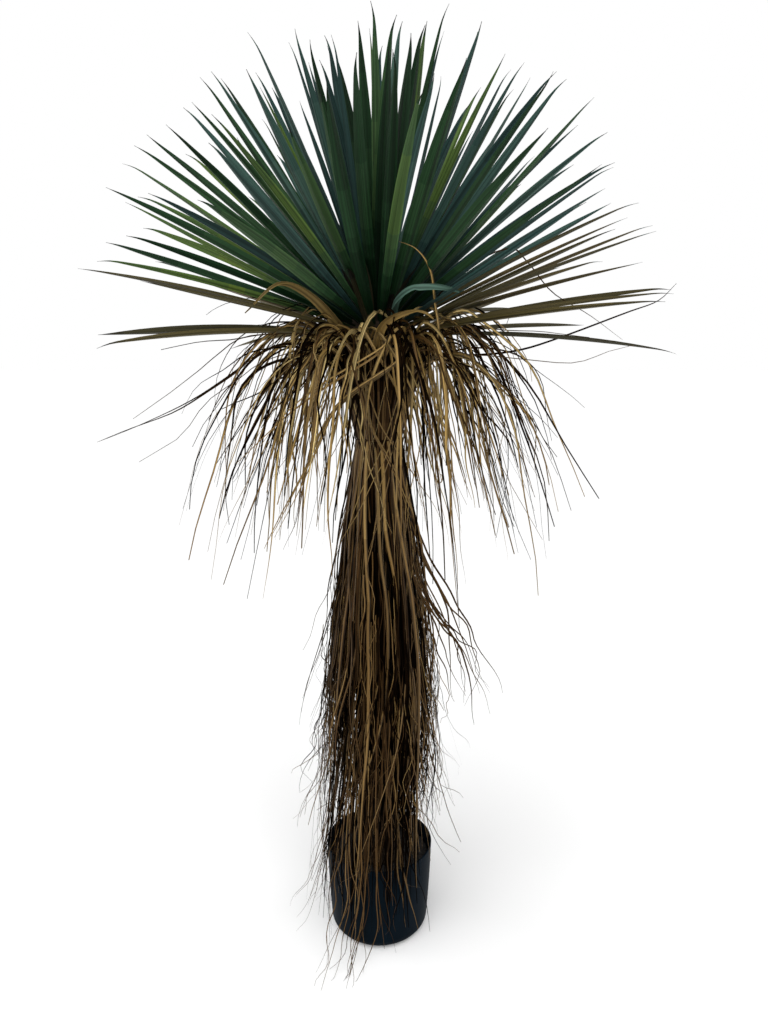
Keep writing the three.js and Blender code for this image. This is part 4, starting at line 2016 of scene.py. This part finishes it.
    def build(self, straws: SweepTree) -> None:
        """Builds and dresses the thatch, one piece for each solid.

        Args:
            straws: Tree that sweeps dry strips.
        """
        for sector in range(SECTORS):
            chance = np.random.default_rng(self.first_strip_seed + sector)
            strips = []
            for number in range(self.locks):
                control, ending = self.line(sector, number)
                for layer in (self.between, self.painted_shade_backing, self.fine):
                    for _ in range(layer.strips):
                        strips.append(self.strip(control, ending, layer, chance))
            for number in range(self.broad.strips):
                control, ending = self.line(sector, number * self.locks // self.broad.strips)
                bearing = SECTOR_TURN * (sector + number / self.broad.strips)
                turn = bearing - bearing_of(control[0])
                control = [moved(point, turn) for point in control]
                strips.append(self.strip(control, ending, self.broad, chance))
            piece = straws.sweep(f"thatch_strips_{sector + 1}", strips, STRIP_SECTION)
            keep(piece, Slot.THATCH, f"trunk_thatch_{sector + 1}")


@dataclass(frozen=True)
class LooseFibres:
    """Hair-thin fibres that hang loose from the thatch and stand out of the skirt."""

    thatch: Thatch
    seed: int = 71
    half_width: Span = (0.0006, 0.0013)
    stations: int = 18
    jitter: float = 4.0
    stray: float = 0.009
    twist: float = 40.0
    ends: Span = (0.8, 0.4)
    shade_spread: float = 0.8
    hanging: int = 260
    hang_shade: float = 3.0
    hang_girth: float = 1.0
    hang_parting: float = 0.0
    hang_top: Span = (0.42, 0.88)
    hang_drop: Span = (0.2, 0.5)
    hang_lowest: Span = (0.19, 0.32)
    hang_clearance: float = 0.006
    hang_spread: Span = (0.005, 0.036)
    hang_lean: float = 7.0
    hang_tip: Span = (0.9, 1.15)
    hang_shares: Span = (0.35, 0.7)
    standing: int = 26
    stand_shade: float = 0.9
    stand_girth: float = 1.5
    stand_parting: float = 50.0
    stand_radius: float = 0.06
    stand_reach: Span = (0.24, 0.42)
    stand_root: Span = (1.07, 1.12)
    stand_lean: float = 14.0
    stand_shares: Span = (0.45, 0.75)
    stand_rises: tuple[Span, ...] = ((0.02, 0.07), (-0.06, 0.09), (-0.2, 0.1))

    def hang(self, bearing: float, chance: Chance) -> list[np.ndarray]:
        """Lays a fibre that hangs from the thatch.

        Args:
            bearing: Bearing of its root.
            chance: Source of random numbers.

        Returns:
            Control points of its line.
        """
        top = chance.uniform(*self.hang_top)
        tip = max(top - chance.uniform(*self.hang_drop), chance.uniform(*self.hang_lowest))
        start = follow(self.thatch.core, top) + self.hang_clearance
        spread = start + chance.uniform(*self.hang_spread)
        lean = bearing + chance.normal(0, self.hang_lean)
        return [
            around(bearing, start, top),
            around(bearing, spread, lerp(top, tip, self.hang_shares[0])),
            around(lean, spread + self.hang_clearance, lerp(top, tip, self.hang_shares[1])),
            around(lean, spread * chance.uniform(*self.hang_tip), tip),
        ]

    def stand(self, bearing: float, chance: Chance) -> list[np.ndarray]:
        """Lays a fibre that stands out of the skirt.

        Args:
            bearing: Bearing of its root.
            chance: Source of random numbers.

        Returns:
            Control points of its line.
        """
        reach = chance.uniform(*self.stand_reach)
        root = chance.uniform(*self.stand_root)
        lean = bearing + chance.normal(0, self.stand_lean)
        bearings = (bearing, lean, lean)
        places = zip(bearings, (*self.stand_shares, 1.0), self.stand_rises)
        rest = [around(b, share * reach, root + chance.uniform(*rise)) for b, share, rise in places]
        return [around(bearing, self.stand_radius, root), *rest]

    def build(self, straws: SweepTree) -> None:
        """Builds and dresses the fibres, none standing at the front.

        Args:
            straws: Tree that sweeps dry strips.
        """
        chance = np.random.default_rng(self.seed)
        places = np.linspace(0, 1, self.stations)
        kinds = (
            (self.hang, self.hanging, self.hang_shade, self.hang_girth, self.hang_parting),
            (self.stand, self.standing, self.stand_shade, self.stand_girth, self.stand_parting),
        )
        fibres = []
        for course, count, shade, girth, parting in kinds:
            for number in range(count):
                bearing = 360 / count * number + chance.normal(0, self.jitter)
                if turn_between(bearing, FRONT) < parting:
                    continue
                line = wander(bezier(course(bearing, chance), places), self.stray, chance, kinks=2)
                sides = sides_of(line, around(bearing - 90, 1, 0), self.twist * places)
                widths = strip_widths(places, girth * chance.uniform(*self.half_width), *self.ends)
                shades = np.full(len(places), chance.normal(shade, self.shade_spread))
                fibres.append(Blade(line, sides, widths, shades))
        keep(straws.sweep("loose_fibres", fibres, FIBRE_SECTION), Slot.THATCH)


@dataclass(frozen=True)
class Stray:
    """A tuft of strips that go their own way from a root through given points."""

    half_width: float
    shade: float
    points: tuple[Triple, ...]
    strips: int = 1
    spread: float = 0.0
    slope: float = 0.0
    slide: float = 0.0
    scatter: float = 0.0
    mottle: float = 0.3
    stations: int = 26
    drift_push: Triple = (1.0, 1.0, 0.6)
    drift_power: float = 0.7
    scatter_push: Triple = (1.0, 0.25, 1.0)
    least_stray: float = 0.001
    stray_share: float = 0.25
    slope_spread: float = 10.0
    width_spread: Span = (0.7, 1.1)
    ends: Span = (0.75, 0.15)

    def strip(self, number: int, chance: Chance) -> Blade:
        """Lays one strip.

        Args:
            number: Its number in the tuft.
            chance: Source of random numbers.

        Returns:
            The strip.
        """
        places = np.linspace(0, 1, self.stations)
        drift = chance.normal(0, self.spread, 3) * self.drift_push
        ends = (-self.scatter, self.scatter)
        apart = np.array([pick(ends, number + 1, axis) for axis in (1, 2, 3)]) * self.scatter_push
        line = through(self.points, len(places)) + np.outer(places**self.drift_power, drift) + apart
        line += np.outer(1 - places, (0, 0, -chance.uniform(0, self.slide)))
        stray = self.least_stray + self.spread * self.stray_share
        line = wander(line, stray, chance, kinks=int(self.strips > 1))
        across = around(bearing_of(line[len(line) // 2]) - 90, 1, 0)
        roll = np.full(len(places), self.slope + chance.normal(0, self.slope_spread))
        half_width = self.half_width * chance.uniform(*self.width_spread)
        widths = strip_widths(places, half_width, *self.ends)
        shades = np.full(len(places), self.shade + chance.normal(0, self.mottle))
        return Blade(line, sides_of(line, across, roll), widths, shades)


# Tufts that the photograph shows one by one: half width, shade and points from root to tip
STRAW_STRAYS = (
    Stray(0.0027, 4.8, (
        (0.05, -0.05, 1.09), (0.09, -0.12, 1.11), (0.085, -0.128, 1.166), (0.077, -0.132, 1.209),
        (0.055, -0.138, 1.238), (0.025, -0.142, 1.25),
    )),
    Stray(0.0034, 5.0, (
        (0.03, -0.06, 1.09), (0.0403, -0.125, 1.125), (0.0254, -0.14, 1.1225), (0.0045, -0.145, 1.087),
        (-0.0122, -0.145, 1.042), (-0.0185, -0.145, 0.991), (-0.0251, -0.145, 0.911),
    )),
    Stray(0.0019, 2.4, (
        (0.055, -0.03, 0.83), (0.077, -0.03, 0.755), (0.112, -0.03, 0.675), (0.138, -0.03, 0.612),
        (0.158, -0.03, 0.54), (0.178, -0.03, 0.455),
    ), strips=12, spread=0.032, slope=65.0, slide=0.12),
    Stray(0.0012, 4.4, (
        (0.04, -0.06, 1.09), (0.078, -0.13, 1.1), (0.087, -0.15, 1.0), (0.088, -0.15, 0.91),
        (0.093, -0.15, 0.892), (0.098, -0.15, 0.897), (0.096, -0.15, 0.905), (0.089, -0.151, 0.9),
        (0.088, -0.152, 0.885),
    )),
    Stray(0.0016, 1.8, (
        (-0.045, -0.02, 0.86), (-0.0623, -0.03, 0.7355), (-0.1016, -0.03, 0.569), (-0.14, -0.03, 0.433),
    ), strips=6, spread=0.02, slope=65.0),
    Stray(0.0013, 3.0, (
        (-0.03, -0.075, 0.42), (-0.04, -0.098, 0.25), (-0.041, -0.105, 0.178), (-0.045, -0.108, 0.115),
        (-0.06, -0.13, 0.05), (-0.07, -0.155, 0.006),
    ), strips=14, spread=0.024, scatter=0.03, mottle=0.9),
    Stray(0.0012, 2.6, (
        (-0.06, -0.06, 0.42), (-0.09, -0.06, 0.26), (-0.105, -0.05, 0.18), (-0.125, -0.05, 0.11),
        (-0.15, -0.05, 0.06),
    ), strips=9, spread=0.018),
    Stray(0.0022, 3.6, (
        (0.02, -0.07, 0.36), (0.032, -0.09, 0.24), (0.034, -0.101, 0.178), (0.042, -0.106, 0.12),
        (0.049, -0.107, 0.06),
    ), strips=2, spread=0.006),
    Stray(0.0026, 3.5, (
        (0.045, -0.055, 0.62), (0.061, -0.058, 0.4876), (0.058, -0.056, 0.3514), (0.066, -0.05, 0.1741),
    ), strips=12, spread=0.010),
    Stray(0.0027, 4.6, (
        (0.04, -0.055, 1.085), (0.048, -0.1, 1.113), (0.0333, -0.13, 1.0749), (-0.0633, -0.135, 1.0025),
        (-0.1067, -0.14, 0.9092), (-0.1648, -0.14, 0.7964),
    ), strips=3, spread=0.014),
    Stray(0.0026, 4.2, (
        (0.02, -0.06, 1.09), (0.018, -0.1, 1.115), (-0.0046, -0.13, 1.0899), (-0.1199, -0.135, 1.0177),
        (-0.1994, -0.14, 0.9406),
    ), strips=2, spread=0.012),
    Stray(0.0027, 4.5, (
        (-0.02, -0.06, 1.09), (-0.016, -0.1, 1.125), (0.006, -0.13, 1.1077), (0.0644, -0.135, 1.0025),
        (0.0968, -0.14, 0.8934),
    ), strips=2, spread=0.012),
    Stray(0.0018, 1.0, (
        (0.06, -0.02, 1.09), (0.15, -0.01, 1.085), (0.23, 0.0, 1.092), (0.298, 0.0, 1.1123),
        (0.4126, 0.0, 1.155), (0.4633, 0.0, 1.1738), (0.4921, 0.0, 1.2008),
    ), slope=70.0),
    Stray(0.0018, 1.5, (
        (0.05, -0.02, 1.12), (0.13, -0.02, 1.215), (0.2118, 0.0, 1.2559), (0.2454, 0.0, 1.234),
        (0.2886, 0.0, 1.1865), (0.3518, 0.0, 1.1496), (0.4094, 0.0, 1.109),
    ), slope=70.0),
    Stray(0.0019, 1.4, (
        (-0.06, 0.0, 1.09), (-0.1564, 0.0, 1.1253), (-0.2427, 0.0, 1.0561), (-0.3476, 0.0, 0.9957),
        (-0.4724, 0.0, 0.9463),
    ), strips=2, spread=0.008, slope=70.0),
    Stray(0.0016, 4.8, (
        (0.045, -0.06, 1.085), (0.052, -0.09, 1.06), (0.03, -0.095, 0.96), (0.0, -0.1, 0.87),
        (-0.02, -0.105, 0.79),
    ), strips=5, spread=0.022),
    Stray(0.0015, 4.6, (
        (-0.03, -0.06, 1.085), (-0.037, -0.09, 1.06), (-0.012, -0.095, 0.97), (0.03, -0.1, 0.88),
        (0.06, -0.105, 0.8),
    ), strips=4, spread=0.022),
)
BROWN_STRAYS = (
    Stray(0.0095, 0.6, (
        (-0.03, -0.05, 1.09), (-0.0512, -0.1, 1.123), (-0.1, -0.13, 1.1775), (-0.146, -0.15, 1.19),
        (-0.192, -0.17, 1.147),
    ), slope=25.0),
    Stray(0.0066, 0.0, (
        (-0.005, -0.05, 1.09), (0.0, -0.11, 1.112), (0.0105, -0.135, 1.134), (0.0402, -0.15, 1.1495),
        (0.066, -0.158, 1.1495), (0.082, -0.162, 1.138),
    ), slope=-20.0, mottle=0.0),
)
GREEN_STRAYS = (
    Stray(0.0105, 7.0, (
        (0.02, -0.05, 1.14), (0.024, -0.105, 1.166), (0.041, -0.15, 1.182), (0.062, -0.155, 1.187),
        (0.091, -0.158, 1.184), (0.118, -0.16, 1.176),
    ), slope=52.0),
)
STRAY_SEED = 89


def build_strays(greens: SweepTree, browns: SweepTree, straws: SweepTree) -> None:
    """Builds and dresses the tufts that go their own way.

    Args:
        greens: Tree that sweeps green leaves.
        browns: Tree that sweeps brown leaves.
        straws: Tree that sweeps dry strips.
    """
    kinds = (
        ("stray_strips", STRAW_STRAYS, straws, STRIP_SECTION, Slot.THATCH),
        ("stray_brown_leaf", BROWN_STRAYS, browns, LEAF_SECTION, Slot.BROWN_LEAF),
        ("stray_green_leaf", GREEN_STRAYS, greens, LEAF_SECTION, Slot.FRESH_GREEN),
    )
    chance = np.random.default_rng(STRAY_SEED)
    for name, strays, tree, section, slot in kinds:
        blades = [stray.strip(number, chance) for stray in strays for number in range(stray.strips)]
        keep(tree.sweep(name, blades, section), slot)


# The studio


@dataclass(frozen=True)
class Studio:
    """Pale floor, soft light and the camera at the photograph's viewing angle."""

    floor_half: float = 40.0
    sky: float = 0.36
    sun: float = 3.3
    sun_angle: float = 78.0
    sun_turn: Triple = (38.0, 0.0, -14.0)
    side_power: float = 14.0
    side_size: float = 1.2
    side_places: tuple[Triple, ...] = ((-2.3, 0.5, 0.9), (2.3, 0.5, 0.9))
    eye: Triple = (0.009, -1.32, 1.095)
    tilt: float = 78.0
    lens: float = 27.0
    sensor: float = 36.0
    target: Triple = (0.0, 0.0, 0.4)

    def build(self) -> None:
        """Builds the floor, the lights and the camera."""
        self.build_floor()
        self.build_sky()
        self.build_lights()
        self.build_camera()

    def build_floor(self) -> None:
        """Lays the floor."""
        half = self.floor_half
        corners = [(-half, -half, 0), (half, -half, 0), (half, half, 0), (-half, half, 0)]
        mesh = bpy.data.meshes.new("studio_floor")
        mesh.from_pydata(corners, [], [(0, 1, 2, 3)])
        mesh.materials.append(PALE_FLOOR.material())
        new_piece("studio_floor", mesh)

    def build_sky(self) -> None:
        """Lights the scene from all round and leaves the ground behind it white."""
        world = bpy.data.worlds.new("soft_sky")
        world.use_nodes = True
        tree = Nodes(world.node_tree)
        glow = tree.nodes["Background"]
        tree.feed(glow.inputs["Color"], WHITE)
        tree.feed(glow.inputs["Strength"], self.sky)
        white = tree.add("ShaderNodeBackground", {"Color": WHITE})
        feeds = {
            "Fac": tree.add("ShaderNodeLightPath").outputs["Is Camera Ray"],
            1: glow.outputs["Background"],
            2: white.outputs["Background"],
        }
        mix = tree.add("ShaderNodeMixShader", feeds)
        tree.feed(tree.nodes["World Output"].inputs["Surface"], mix.outputs["Shader"])
        bpy.context.scene.world = world

    def hang(self, data: bpy.types.Light) -> bpy.types.Object:
        """Puts a light in the scene.

        Args:
            data: The light.

        Returns:
            Its object.
        """
        lamp = bpy.data.objects.new(data.name, data)
        bpy.context.scene.collection.objects.link(lamp)
        return lamp

    def build_lights(self) -> None:
        """Hangs a large soft key light and a low light on either side."""
        key = bpy.data.lights.new("key_light", "SUN")
        key.energy = self.sun
        key.angle = math.radians(self.sun_angle)
        self.hang(key).rotation_euler = tuple(math.radians(turn) for turn in self.sun_turn)
        for number, place in enumerate(self.side_places):
            data = bpy.data.lights.new(f"side_light_{number + 1}", "AREA")
            data.shape = "SQUARE"
            data.size = self.side_size
            data.energy = self.side_power
            light = self.hang(data)
            light.location = place
            gaze = np.array(self.target) - np.array(place)
            nod = math.atan2(math.hypot(gaze[0], gaze[1]), -gaze[2])
            light.rotation_euler = (nod, 0, math.atan2(gaze[1], gaze[0]) - math.pi / 2)

    def build_camera(self) -> None:
        """Sets up the camera."""
        scene = bpy.context.scene
        scene.view_settings.view_transform = "Standard"
        data = bpy.data.cameras.new("photo_camera")
        data.lens = self.lens
        data.sensor_width = self.sensor
        camera = bpy.data.objects.new("photo_camera", data)
        camera.location = self.eye
        camera.rotation_euler = (math.radians(self.tilt), 0, 0)
        scene.collection.objects.link(camera)
        scene.camera = camera


def main() -> None:
    """Builds every sub-assembly in order."""
    logging.basicConfig(level=logging.INFO, format="%(name)s: %(message)s")
    greens, browns, straws = SweepTree(GREENS), SweepTree(BROWNS), SweepTree(STRAWS)
    collar, thatch = Collar(), Thatch()
    Studio().build()
    Pot().build()
    Filling().build()
    Trunk().build()
    Crown().build(greens, browns)
    collar.build(straws)
    Skirt(collar).build(straws)
    Fringe(collar).build(straws)
    Fringe(
        collar,
        name="long_fringe",
        seed=59,
        strips=26,
        tip_slope=(-80, -52),
        bend=(0.04, 0.14),
        length=(0.28, 0.46),
        lean=88.0,
        veer=20.0,
        half_width=(0.0011, 0.0021),
    ).build(straws)
    thatch.build(straws)
    LooseFibres(thatch).build(straws)
    build_strays(greens, browns, straws)


if __name__ == "__main__":
    main()
